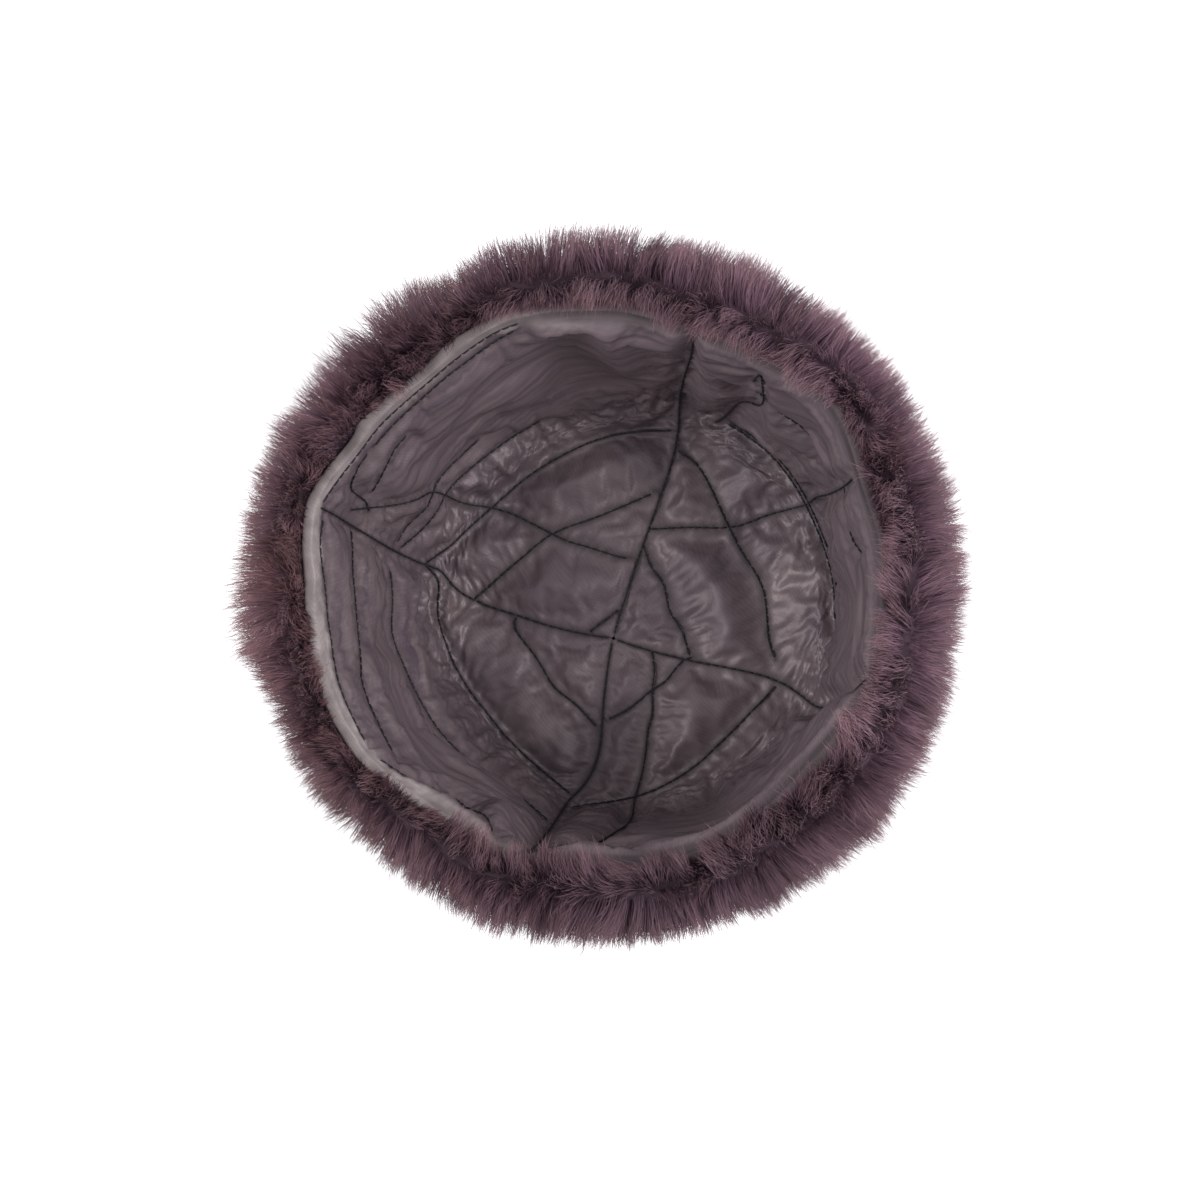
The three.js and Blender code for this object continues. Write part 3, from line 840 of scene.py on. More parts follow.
class NodeBuilder:
    """Short calls for shader nodes in one tree."""

    def __init__(self, tree: bpy.types.NodeTree) -> None:
        """Start in the tree that gets the nodes."""
        self.tree = tree

    def add(self, kind: str, **settings: object) -> bpy.types.Node:
        """Add a node.

        Args:
            kind: Its type.
            settings: Values for its properties, or for its inputs where the name is one's.

        Returns:
            The node.
        """
        node = self.tree.nodes.new(kind)
        self.fill(node, **settings)
        return node

    def fill(self, node: bpy.types.Node, **settings: object) -> None:
        """Set properties and inputs of a node.

        Args:
            node: The node.
            settings: As in add. Another node's output is linked to the input.
        """
        for key, value in settings.items():
            if hasattr(node, key):
                setattr(node, key, value)
            else:
                self.feed(value, node.inputs[key.replace("_", " ")])

    def feed(self, value: object, target: bpy.types.NodeSocket) -> None:
        """Link an output to an input, or set the input's own value.

        Args:
            value: The output, number or colour.
            target: The input.
        """
        if isinstance(value, bpy.types.NodeSocket):
            self.tree.links.new(value, target)
        else:
            target.default_value = value

    def math(self, operation: str, *values: object) -> bpy.types.NodeSocket:
        """Add a sum, product or other operation.

        Args:
            operation: Its name.
            values: Numbers or outputs.

        Returns:
            Its output.
        """
        node = self.add("ShaderNodeMath", operation=operation)
        for socket, value in zip(node.inputs, values):
            self.feed(value, socket)
        return node.outputs[0]

    def mix(self, kind: str, factor: object, a: object, b: object) -> bpy.types.Node:
        """Mix two values or colours.

        Args:
            kind: FLOAT or RGBA.
            factor: Share of the second.
            a: The first.
            b: The second.

        Returns:
            The node, with its output "Result".
        """
        return self.add("ShaderNodeMix", data_type=kind, Factor=factor, A=a, B=b)

    def ramp(
        self, value: bpy.types.NodeSocket, stops: Sequence[tuple[float, Sequence[float]]]
    ) -> bpy.types.NodeSocket:
        """Turn a value into a colour.

        Args:
            value: The value, from 0 to 1.
            stops: Places and linear colours.

        Returns:
            The colour.
        """
        node = self.add("ShaderNodeValToRGB", Fac=value)
        elements = node.color_ramp.elements
        while len(elements) < len(stops):
            elements.new(0.5)
        for element, (place, colour) in zip(elements, stops):
            element.position = place
            element.color = (*colour, 1.0)
        return node.outputs["Color"]

    def tint(
        self, colour: bpy.types.NodeSocket, by: bpy.types.NodeSocket
    ) -> bpy.types.NodeSocket:
        """Multiply a colour by a value."""
        node = self.add("ShaderNodeVectorMath", operation="SCALE", Vector=colour, Scale=by)
        return node.outputs["Vector"]


class Effect(Enum):
    """Shared effects, each a group of shader nodes that is built once."""

    TWILL = "twill_weave"
    SHEEN = "satin_sheen"
    CREASE = "satin_creases"
    STREAK = "satin_streaks"
    CLUMP = "fur_shade"


# Noise of the effects that are made of it: (detail, roughness, distortion).
EFFECT_NOISE = {
    Effect.SHEEN: (4.0, 0.42, 0.0),
    Effect.CREASE: (3.0, 0.5, 1.6),
    Effect.STREAK: (3.0, 0.5, 0.0),
    Effect.CLUMP: (4.0, 0.5, 0.0),
}


def effect(kind: Effect) -> bpy.types.NodeTree:
    """Build a shared effect, or find it if it is there.

    Args:
        kind: The effect.

    Returns:
        Its group, with an input "Scale" and one value "Value" from 0 to 1.
    """
    found = bpy.data.node_groups.get(kind.value)
    if found:
        return found
    tree = bpy.data.node_groups.new(kind.value, "ShaderNodeTree")
    tree.interface.new_socket("Scale", in_out="INPUT", socket_type="NodeSocketFloat")
    tree.interface.new_socket("Value", in_out="OUTPUT", socket_type="NodeSocketFloat")
    nodes = NodeBuilder(tree)
    scale = nodes.add("NodeGroupInput").outputs["Scale"]
    place = nodes.add("ShaderNodeTexCoord").outputs["Object"]
    if kind is Effect.TWILL:
        turned = nodes.add("ShaderNodeMapping", vector_type="POINT", Vector=place)
        nodes.fill(turned, Rotation=(0.5, 0.3, 0.6))
        wave = nodes.add("ShaderNodeTexWave", wave_type="BANDS", bands_direction="DIAGONAL")
        nodes.fill(wave, Vector=turned.outputs["Vector"], Scale=scale, Distortion=1.2, Detail=1.0)
        value = wave.outputs["Fac"]
    else:
        if kind is Effect.STREAK:
            long = nodes.add("ShaderNodeMapping", vector_type="POINT", Vector=place)
            nodes.fill(long, Scale=(1.0, 1.0, 14.0))
            place = long.outputs["Vector"]
        detail, roughness, distortion = EFFECT_NOISE[kind]
        lumps = nodes.add("ShaderNodeTexNoise", Vector=place, Scale=scale, Detail=detail)
        nodes.fill(lumps, Roughness=roughness, Distortion=distortion)
        value = lumps.outputs["Fac"]
    if kind is Effect.CREASE:
        ridge = nodes.math("ABSOLUTE", nodes.math("SUBTRACT", value, 0.5))
        value = nodes.math("MINIMUM", nodes.math("MULTIPLY", ridge, 5.0), 1.0)
    nodes.add("NodeGroupOutput", Value=value)
    return tree


@dataclass(frozen=True)
class Finish:
    """A finish, made once as a material.

    Attributes:
        name: Name of the material.
    """

    name: str

    def material(self) -> bpy.types.Material:
        """Find the material, or build it.

        Returns:
            The material.
        """
        found = bpy.data.materials.get(self.name)
        if found:
            return found
        made = bpy.data.materials.new(self.name)
        made.use_nodes = True
        made.node_tree.nodes.clear()
        nodes = NodeBuilder(made.node_tree)
        shader = nodes.add("ShaderNodeBsdfPrincipled")
        nodes.add("ShaderNodeOutputMaterial", Surface=shader.outputs["BSDF"])
        self.build(nodes, shader)
        return made

    def build(self, nodes: NodeBuilder, shader: bpy.types.Node) -> None:
        """Set up the shader.

        Args:
            nodes: The material's nodes.
            shader: Its Principled shader.
        """
        raise NotImplementedError

    @staticmethod
    def shared(nodes: NodeBuilder, kind: Effect, scale: float) -> bpy.types.NodeSocket:
        """Add a shared effect to the material, as fine as the scale says."""
        group = nodes.add("ShaderNodeGroup", node_tree=effect(kind), Scale=scale)
        return group.outputs["Value"]

    @staticmethod
    def named(nodes: NodeBuilder, name: str) -> bpy.types.NodeSocket:
        """Read the mesh's numbers of a name."""
        return nodes.add("ShaderNodeAttribute", attribute_name=name).outputs["Fac"]


@dataclass(frozen=True)
class SatinFinish(Finish):
    """Dark taupe satin with a fine twill weave and painted sheen, paler where it is rolled at the
    rim as a painted highlight.

    Attributes:
        low: Linear colour of the painted shade between the sheen and the highlight streaks.
        high: Linear colour of the painted sheen and highlight streaks.
        edge: Linear colour of the rolled edge, a painted highlight.
    """

    low: tuple[float, float, float] = (0.094, 0.069, 0.088)
    high: tuple[float, float, float] = (0.206, 0.160, 0.168)
    edge: tuple[float, float, float] = (0.420, 0.360, 0.358)

    def build(self, nodes: NodeBuilder, shader: bpy.types.Node) -> None:
        """Set up the shader.

        Args:
            nodes: The material's nodes.
            shader: Its Principled shader.
        """
        twill = self.shared(nodes, Effect.TWILL, TWILL_SCALE)
        crease = self.shared(nodes, Effect.CREASE, 72.0)
        sheen = self.shared(nodes, Effect.SHEEN, 42.0)
        streak = self.shared(nodes, Effect.STREAK, 32.0)
        fuzz = self.shared(nodes, Effect.CLUMP, CLUMP_SCALE)
        loose, edge, furrow_shade = (self.named(nodes, key) for key in ("loose", "edge", "furrow_shade"))
        # Painted sheen: broad noise on the crown's loose satin and streaks round the walls move the
        # colour from the shaded low colour to the lit high one.
        painted_sheen = nodes.mix("FLOAT", loose, streak, sheen).outputs["Result"]
        cloth = nodes.ramp(painted_sheen, ((0.25, self.low), (0.75, self.high)))
        # Painted highlight: the rolled edge takes its pale colour, mottled by fine noise, as far as
        # the edge mask says.
        pale, dull = (tuple(gain * c for c in self.edge) for gain in (1.3, 0.7))
        roll = nodes.ramp(fuzz, ((0.3, dull), (0.7, pale)))
        colour = nodes.mix("RGBA", edge, cloth, roll).outputs["Result"]
        thread = nodes.math("MULTIPLY_ADD", twill, 0.1, 0.95)
        # Painted shade: the colour is darkened by up to 60 % in the furrows beside the stitching,
        # by the rim under the fur, and on the roll where it gets no painted highlight.
        shade = nodes.math("MULTIPLY_ADD", furrow_shade, -0.6, 1.0)
        # Painted light: the satin of the walls is painted up to 14 % lighter than the loose satin
        # of the crown.
        wall = nodes.math("MULTIPLY_ADD", loose, -0.14, 1.14)
        both = nodes.math("MULTIPLY", nodes.math("MULTIPLY", thread, wall), shade)
        rough = nodes.math("MULTIPLY_ADD", sheen, -0.2, 0.58)
        rough = nodes.math("MULTIPLY_ADD", edge, 0.4, rough)
        rough = nodes.math("MULTIPLY_ADD", furrow_shade, 0.3, rough)
        crumpled = nodes.math("MULTIPLY", crease, nodes.math("MULTIPLY_ADD", loose, 0.2, 0.0))
        taut = nodes.math("MULTIPLY_ADD", loose, -0.5, 0.5)
        streaked = nodes.math("MULTIPLY_ADD", streak, taut, crumpled)
        height = nodes.math("MULTIPLY_ADD", twill, 0.02, streaked)
        bump = nodes.add("ShaderNodeBump", Strength=0.5, Distance=0.0009, Height=height)
        nodes.fill(shader, Base_Color=nodes.tint(colour, both), Roughness=rough, Metallic=0.22)
        nodes.fill(shader, Specular_IOR_Level=0.35, Normal=bump.outputs["Normal"])


@dataclass(frozen=True)
class ThreadFinish(Finish):
    """Near-black sewing thread.

    Attributes:
        colour: Its linear colour.
    """

    colour: tuple[float, float, float] = (0.006, 0.006, 0.010)

    def build(self, nodes: NodeBuilder, shader: bpy.types.Node) -> None:
        """Set up the shader.

        Args:
            nodes: The material's nodes.
            shader: Its Principled shader.
        """
        twist = self.shared(nodes, Effect.TWILL, TWILL_SCALE)
        shade = nodes.ramp(twist, ((0.0, self.colour), (1.0, tuple(2.2 * c for c in self.colour))))
        nodes.fill(shader, Base_Color=shade, Roughness=0.6)


@dataclass(frozen=True)
class FurFinish(Finish):
    """Dark reddish-brown hair with lighter, warmer tips.

    Attributes:
        root: Linear colour at the skin.
        middle: Linear colour half way.
        tip: Linear colour of the tips.
        warmth: What the colour is multiplied by where the fur is yellower.
        gain: Lightness of the whole.
    """

    root: tuple[float, float, float] = (0.092, 0.051, 0.074)
    middle: tuple[float, float, float] = (0.152, 0.088, 0.116)
    tip: tuple[float, float, float] = (0.232, 0.136, 0.152)
    warmth: tuple[float, float, float, float] = (1.15, 1.02, 0.7, 1.0)
    gain: float = 1.0

    def build(self, nodes: NodeBuilder, shader: bpy.types.Node) -> None:
        """Set up the shader.

        Args:
            nodes: The material's nodes.
            shader: Its Principled shader.
        """
        along, tone_and_light, warm = (self.named(nodes, key) for key in ("along", "tone_and_light", "warm"))
        hair = nodes.ramp(along, ((0.0, self.root), (0.55, self.middle), (1.0, self.tip)))
        mix = nodes.mix("RGBA", warm, hair, self.warmth)
        nodes.fill(mix, blend_type="MULTIPLY")
        clump = self.shared(nodes, Effect.CLUMP, CLUMP_SCALE)
        spots = nodes.math("MULTIPLY_ADD", clump, 0.8, 0.6 * self.gain)
        # The colour is scaled by the mesh's tone, which holds painted light and shade round the hat
        # as well as random tone.
        shade = nodes.tint(mix.outputs["Result"], nodes.math("MULTIPLY", tone_and_light, spots))
        nodes.fill(shader, Base_Color=shade, Roughness=0.65, Specular_IOR_Level=0.15)


@dataclass(frozen=True)
class FloorFinish(Finish):
    """Plain white studio paper."""

    def build(self, nodes: NodeBuilder, shader: bpy.types.Node) -> None:
        """Set up the shader.

        Args:
            nodes: The material's nodes.
            shader: Its Principled shader.
        """
        nodes.fill(shader, Base_Color=(0.93, 0.93, 0.94, 1.0), Roughness=0.9)
        nodes.fill(shader, Specular_IOR_Level=0.0)
        nodes.fill(shader, Emission_Color=(1.0, 1.0, 1.0, 1.0), Emission_Strength=0.45)


# --------------------------------------------------------------------------------------------
# The lining
# --------------------------------------------------------------------------------------------


@dataclass(frozen=True)
class Quilting:
    """The lines of stitching on the lining.

    Attributes:
        form: The form of the hat.
        steps: Straight steps between two points of a line.
        seam_ends: Shares of the way to the rim where the seams start and end.
        seam_points: Points on each seam.
    """

    form: HatForm
    steps: int = 8
    seam_ends: tuple[float, float] = (0.012, 0.985)
    seam_points: int = 80

    def paths(self) -> list[Array]:
        """Points of each line on the lining laid flat."""
        lines = (np.array(line, float).T for line in STITCHING)
        return [smooth_line(self.form.flat(angle, place), self.steps) for angle, place in lines]

    def seams(self) -> list[Array]:
        """The seams between the gores, in the same way."""
        place = np.linspace(*self.seam_ends, self.seam_points)
        return [self.form.flat(self.form.seam_angle(seam, place), place) for seam in Seam]

    @staticmethod
    def nearest(points: Array, paths: Sequence[Array]) -> tuple[Array, Array]:
        """The nearest spot of the lines on the flat lining.

        Args:
            points: Points on the flat lining.
            paths: The lines.

        Returns:
            Distances to it, and how far along the lines it is.
        """
        best, along, run = np.full(len(points), 1e9), np.zeros(len(points)), 0.0
        for path in paths:
            for a, b in zip(path[:-1], path[1:]):
                step = b - a
                t = np.clip((points - a) @ step / max(step @ step, 1e-9), 0.0, 1.0)
                gap = np.linalg.norm(points - a - t[:, None] * step, axis=1)
                along = np.where(gap < best, run + t * np.linalg.norm(step), along)
                best = np.minimum(best, gap)
                run += float(np.linalg.norm(step))
        return best, along


@dataclass(frozen=True)
class Creases:
    """Heights of the fine forms of the satin.

    Attributes:
        gather: Gathers at the turn between crown and wall.
        crumple: Crumples of the crown, which run towards its middle.
        small: Smaller ones at the turn.
        streaks: Streaks round the wall.
        pucker: Puckers along the stitching.
        bunch: Places where the satin is bunched up.
    """

    gather: float = 1.2
    crumple: float = 2.2
    small: float = 1.3
    streaks: float = 0.35
    pucker: float = 1.8
    bunch: float = 3.2


@dataclass
class LiningGore:
    """One gore of the quilted lining.

    Attributes:
        node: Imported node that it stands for.
        start: Seam where it starts.
        end: Seam where it ends, going round towards +Y from +X.
        form: The form of the hat.
        quilting: The stitching.
        spacing: Distance between the points of its mesh.
        excess: Share by which the satin is cut larger than the wadding below it.
        most: The farthest that the satin may lift off its rest form.
        hold: How near to a line of stitching the satin is held.
        creases: Heights of its fine forms.
        frames: Steps of the cloth simulation.
        scale: How much larger than life it is simulated.
        roll_steps: Steps over the rolled edge.
        back_grid: Points of the plain back, from crown to rim and across.
        angle: Angle of each point of the face.
        place: Its share of the way to the rim.
        points: The points of the face.
        normals: Directions into the hollow there.
        faces: The faces of the face.
    """

    node: str
    start: Seam
    end: Seam
    form: HatForm
    quilting: Quilting
    spacing: float = 1.35
    excess: float = 0.03
    most: float = 2.6
    hold: float = 0.8
    creases: Creases = Creases()
    frames: int = 18
    scale: float = 10.0
    roll_steps: int = 8
    back_grid: tuple[int, int] = (12, 9)
    angle: Array = field(init=False)
    place: Array = field(init=False)
    points: Array = field(init=False)
    normals: Array = field(init=False)
    faces: Array = field(init=False)

    def span(self, place: Array) -> tuple[Array, Array]:
        """First angle and width of the gore, in degrees."""
        start = self.form.seam_angle(self.start, place)
        return start, np.mod(self.form.seam_angle(self.end, place) - start, 360.0)

    def weave(self) -> None:
        """Lay rows of points from the middle of the crown to the rim and join them."""
        form = self.form
        rows = int(round(form.gore_length * 1.02 / self.spacing))
        places = np.linspace(0.0, 1.0, rows + 1)[1:]
        starts, widths = self.span(places)
        radii, _ = form.section(starts, places)
        counts = np.maximum(np.round(np.radians(widths) * radii / self.spacing).astype(int), 2)
        angle, place = [np.array([starts[0] + widths[0] / 2])], [np.array([0.004])]
        for row, spot in enumerate(places):
            angle.append(starts[row] + widths[row] * np.linspace(0, 1, counts[row] + 1))
            place.append(np.full(counts[row] + 1, spot))
        firsts = np.concatenate([[1], 1 + np.cumsum(counts + 1)])
        faces = [(0, int(firsts[0]) + i, int(firsts[0]) + i + 1) for i in range(counts[0])]
        for row in range(rows - 1):
            low, high = ((int(firsts[k]), int(counts[k])) for k in (row, row + 1))
            faces += self.zipped(*low, *high)
        self.angle, self.place = np.concatenate(angle), np.concatenate(place)
        self.faces = np.array(faces)

    @staticmethod
    def zipped(
        low: int, low_count: int, high: int, high_count: int
    ) -> list[tuple[int, int, int]]:
        """Triangles between two rows of points.

        Args:
            low: First point of the lower row.
            low_count: Steps in it.
            high: First point of the upper row.
            high_count: Steps in it.

        Returns:
            The triangles.
        """
        faces, i, j = [], 0, 0
        while i < low_count or j < high_count:
            if j == high_count or (i < low_count and (i + 1) * high_count <= (j + 1) * low_count):
                faces.append((low + i, high + j, low + i + 1))
                i += 1
            else:
                faces.append((low + i, high + j, high + j + 1))
                j += 1
        return faces

    def relief(self) -> tuple[Array, Array]:
        """How far the lining stands into the hollow before it is simulated.

        Returns:
            Heights, and the distance from each point to the nearest stitching or seam.
        """
        form, place, size = self.form, self.place, self.creases
        flat = form.flat(self.angle, place)
        to_seam, along_seam = self.quilting.nearest(flat, self.quilting.seams())
        to_line, along_line = self.quilting.nearest(flat, self.quilting.paths())
        nearest = np.minimum(to_seam, to_line)
        base = form.lining(self.angle, place)
        pucker = 0.0
        for gap, along, reach, wide in (
            (to_seam, along_seam, 13.0, 3.4),
            (to_line, along_line, 7.0, 2.9),
        ):
            waves = ridged(np.stack([along, gap * 0.2, 0 * gap], 1), wide, 9) - 0.4
            strong = smooth(flat_noise(along, 0.0, 17.0, 19), -0.35, 0.4)
            near = bell(gap, reach) * smooth(gap, 0.3, 2.2)
            pucker = pucker + near * waves * (0.35 + 0.65 * strong)
        taut = smooth(place, 0.5, 0.62)
        gather = bell(place - form.turn_end, 0.12) * flat_noise(
            self.angle * 1.35, place * 22, 3.2, 5
        )
        lumps = noise(base, 24.0, 3) * (0.9 - 0.75 * taut)
        long = unit(flat[place < 0.5].mean(0)[None])[0]
        drift = 9.0 * noise(base, 30.0, 46)
        across = flat @ np.array([-long[1], long[0]]) + drift
        grain = np.stack([0.3 * (flat @ long), across, 0 * drift], 1)
        patch = smooth(noise(base, 22.0, 44), -0.1, 0.45) * (0.5 + 0.5 * smooth(place, 0.12, 0.34))
        crumple = ridged(grain, 7.5, 40) * patch * (1.0 - 0.9 * taut)
        small = ridged(grain * [1.6, 1.0, 1.0], 3.6, 41) * bell(place - 0.42, 0.13)
        streaks = flat_noise(self.angle * 0.11, place * 90.0, 2.2, 13) * smooth(place, 0.5, 0.66)
        bunch = self.bunched() * smooth(nearest, 0.3, 2.0) * ridged(base, 5.8, 47)
        loose = size.gather * gather + lumps + size.crumple * crumple
        loose = loose + size.small * small + size.streaks * streaks
        fine = form.quilt_height * (1.0 - bell(nearest, form.quilt_width))
        fine = fine + smooth(nearest, 0.5, 4.0) * loose
        fine = fine + size.pucker * pucker + size.bunch * bunch
        return form.relief(self.angle, place, to_seam, fine), nearest

    def bunched(self) -> Array:
        """How far the satin is bunched up, as it is beside the seam at the left and at the turn.

        Returns:
            Shares.
        """
        total = np.zeros_like(self.place)
        for angle, place, wide, high in BUNCHED:
            away = (np.mod(self.angle - angle + 180.0, 360.0) - 180.0) / wide
            total = total + np.exp(-(away**2) - ((self.place - place) / high) ** 2)
        return np.minimum(total, 1.0)

    def simulate(self, pinned: Array) -> Array:
        """Let the satin, cut a little too large and held at its stitching, find its creases.

        Args:
            pinned: Which points are held.

        Returns:
            Points after the simulation.
        """
        piece = write_mesh(f"{self.node}_cloth", self.points * self.scale, [self.faces])
        group = piece.vertex_groups.new(name="held")
        group.add([int(i) for i in np.flatnonzero(pinned)], 1.0, "REPLACE")
        cloth = piece.modifiers.new("Cloth", "CLOTH")
        made = cloth.settings
        made.quality = 6
        made.mass = 0.25
        made.tension_stiffness = made.compression_stiffness = 12.0
        made.shear_stiffness = 4.0
        made.bending_stiffness = 0.5
        made.air_damping = 2.0
        made.vertex_group_mass = "held"
        made.shrink_min = made.shrink_max = -self.excess
        made.effector_weights.gravity = 0.0
        cloth.collision_settings.use_collision = False
        scene = bpy.context.scene
        scene.frame_start, scene.frame_end = 1, self.frames
        cloth.point_cache.frame_start, cloth.point_cache.frame_end = 1, self.frames
        for frame in range(1, self.frames + 1):
            scene.frame_set(frame)
        shape = piece.evaluated_get(bpy.context.evaluated_depsgraph_get()).data
        found = np.empty(len(shape.vertices) * 3, np.float32)
        shape.vertices.foreach_get("co", found)
        mesh = piece.data
        bpy.data.objects.remove(piece)
        bpy.data.meshes.remove(mesh)
        scene.frame_set(1)
        return found.reshape(-1, 3).astype(float) / (MM * self.scale)

    def build(self, material: bpy.types.Material) -> bpy.types.Object:
        """Build and dress the gore.

        Args:
            material: The satin.

        Returns:
            The object.
        """
        form = self.form
        self.weave()
        height, nearest = self.relief()
        rest = form.lining(self.angle, self.place)
        self.normals = unit(rest - form.lining(self.angle, self.place, 1.0))
        self.points = rest + self.normals * height[:, None]
        self.crease(rest, nearest)
        points, faces, edge = self.rolled()
        values = self.marks(nearest, edge)
        piece = write_mesh(f"{self.node}_satin", points, faces, values)
        dress(piece, Slot.SATIN, material, self.node)
        return piece

    def crease(self, rest: Array, nearest: Array) -> None:
        """Move the points to where the simulated satin lies, within the room that it has.

        Args:
            rest: The plain face of the lining.
            nearest: Distance of each point to the stitching.
        """
        form, place = self.form, self.place
        held = (nearest < self.hold) | (place > form.rim_stitching + 0.03) | (place < 0.03)
        moved = self.simulate(held) - self.points
        length = np.linalg.norm(moved, axis=1, keepdims=True)
        moved *= np.minimum(1.0, self.most / np.maximum(length, 1e-6))
        log.info("%s: satin lifted by up to %.1f mm", self.node, float(length.max()))
        self.points = self.points + moved
        depth = np.einsum("ij,ij->i", self.points - rest, self.normals)
        lift = np.maximum(-0.45 * form.lining_thickness - depth, 0.0)
        self.points = self.points + self.normals * lift[:, None]

    def marks(self, nearest: Array, edge: Array) -> dict[str, Array]:
        """The numbers that the finish reads at each point.

        Args:
            nearest: Distance of each point of the face to the stitching.
            edge: How much painted highlight of the rolled edge each point gets.

        Returns:
            The rolled edge's painted highlight, painted shade beside the stitching and by the rim,
            and loose satin.
        """
        face, beside = len(nearest), bell(nearest, 0.9)
        # Painted shade: a narrow furrow beside each line of stitching, the satin by the rim under
        # the fur, and the roll and back where they get no painted highlight.
        furrow_shade, loose = np.full(len(edge), 0.8), np.zeros(len(edge))
        furrow_shade[:face] = beside + 0.8 * smooth(self.place, 0.96, 0.985) * (1.0 - beside)
        slack = 0.35 + 0.65 * smooth(self.place, 0.08, 0.3)
        slack = slack * (1.0 - smooth(self.place, 0.46, 0.6))
        loose[:face] = np.maximum(slack, self.bunched())
        return {"edge": edge, "furrow_shade": furrow_shade * (1.0 - edge), "loose": loose}

    def rolled(self) -> tuple[Array, list[Array], Array]:
        """Add the rolled edge and the plain back to the face of the gore.

        Returns:
            Points, faces, and how much painted highlight of the rolled edge each point gets.
        """
        form, steps = self.form, self.roll_steps
        top = np.flatnonzero(self.place > 1.0 - 1e-9)
        angle, count, first = self.angle[top], len(top), len(self.points)
        r, z, away_r, away_z = form.station(angle, np.ones(count))
        wave = 1.0 + 0.3 * flat_noise(angle * 1.6, 0.0, 6.0, 21)
        sway = 1.7 * flat_noise(angle * 1.6, 5.0, 7.5, 22)
        rows = []
        for turn in np.linspace(0.0, np.pi, steps + 1)[1:]:
            out = form.lining_thickness / 2 * (1 - np.cos(turn))
            rise = 0.38 * form.lining_thickness * np.sqrt(max(np.sin(turn), 0.0)) * wave
            radius = r + away_r * out + sway * np.sin(turn)
            rows.append(around(radius, angle, z + away_z * out + rise))
        index = np.vstack([top[None], first + np.arange(steps * count).reshape(steps, count)])
        roll = np.stack([index[:-1, :-1], index[1:, :-1], index[1:, 1:], index[:-1, 1:]], -1)
        high, wide = self.back_grid
        back_place = np.linspace(0.05, 1.0, high)
        start, width = self.span(back_place)
        back_angle = (start[:, None] + width[:, None] * np.linspace(0, 1, wide)).ravel()
        back = form.lining(back_angle, np.repeat(back_place, wide), form.lining_thickness)
        back_faces = grid_faces(high, wide) + first + steps * count
        ragged = self.place + 0.012 * noise(self.points, 6.0, 23)
        # Painted highlight: a ragged band of the face by the rim and the roll itself are painted
        # pale by angle round the hat, the roll paler towards its far side.
        inner = 0.8 * smooth(ragged, 0.948, 0.97) * at_angle(EDGE_HIGHLIGHT, 1, self.angle)
        roll_highlight = np.repeat(np.linspace(0.8, 1.0, steps), count)
        edge = [inner, roll_highlight * np.tile(at_angle(EDGE_HIGHLIGHT, 1, angle), steps), np.zeros(len(back))]
        faces = [self.faces, roll.reshape(-1, 4), back_faces]
        return np.vstack([self.points, *rows, back]), faces, np.concatenate(edge)


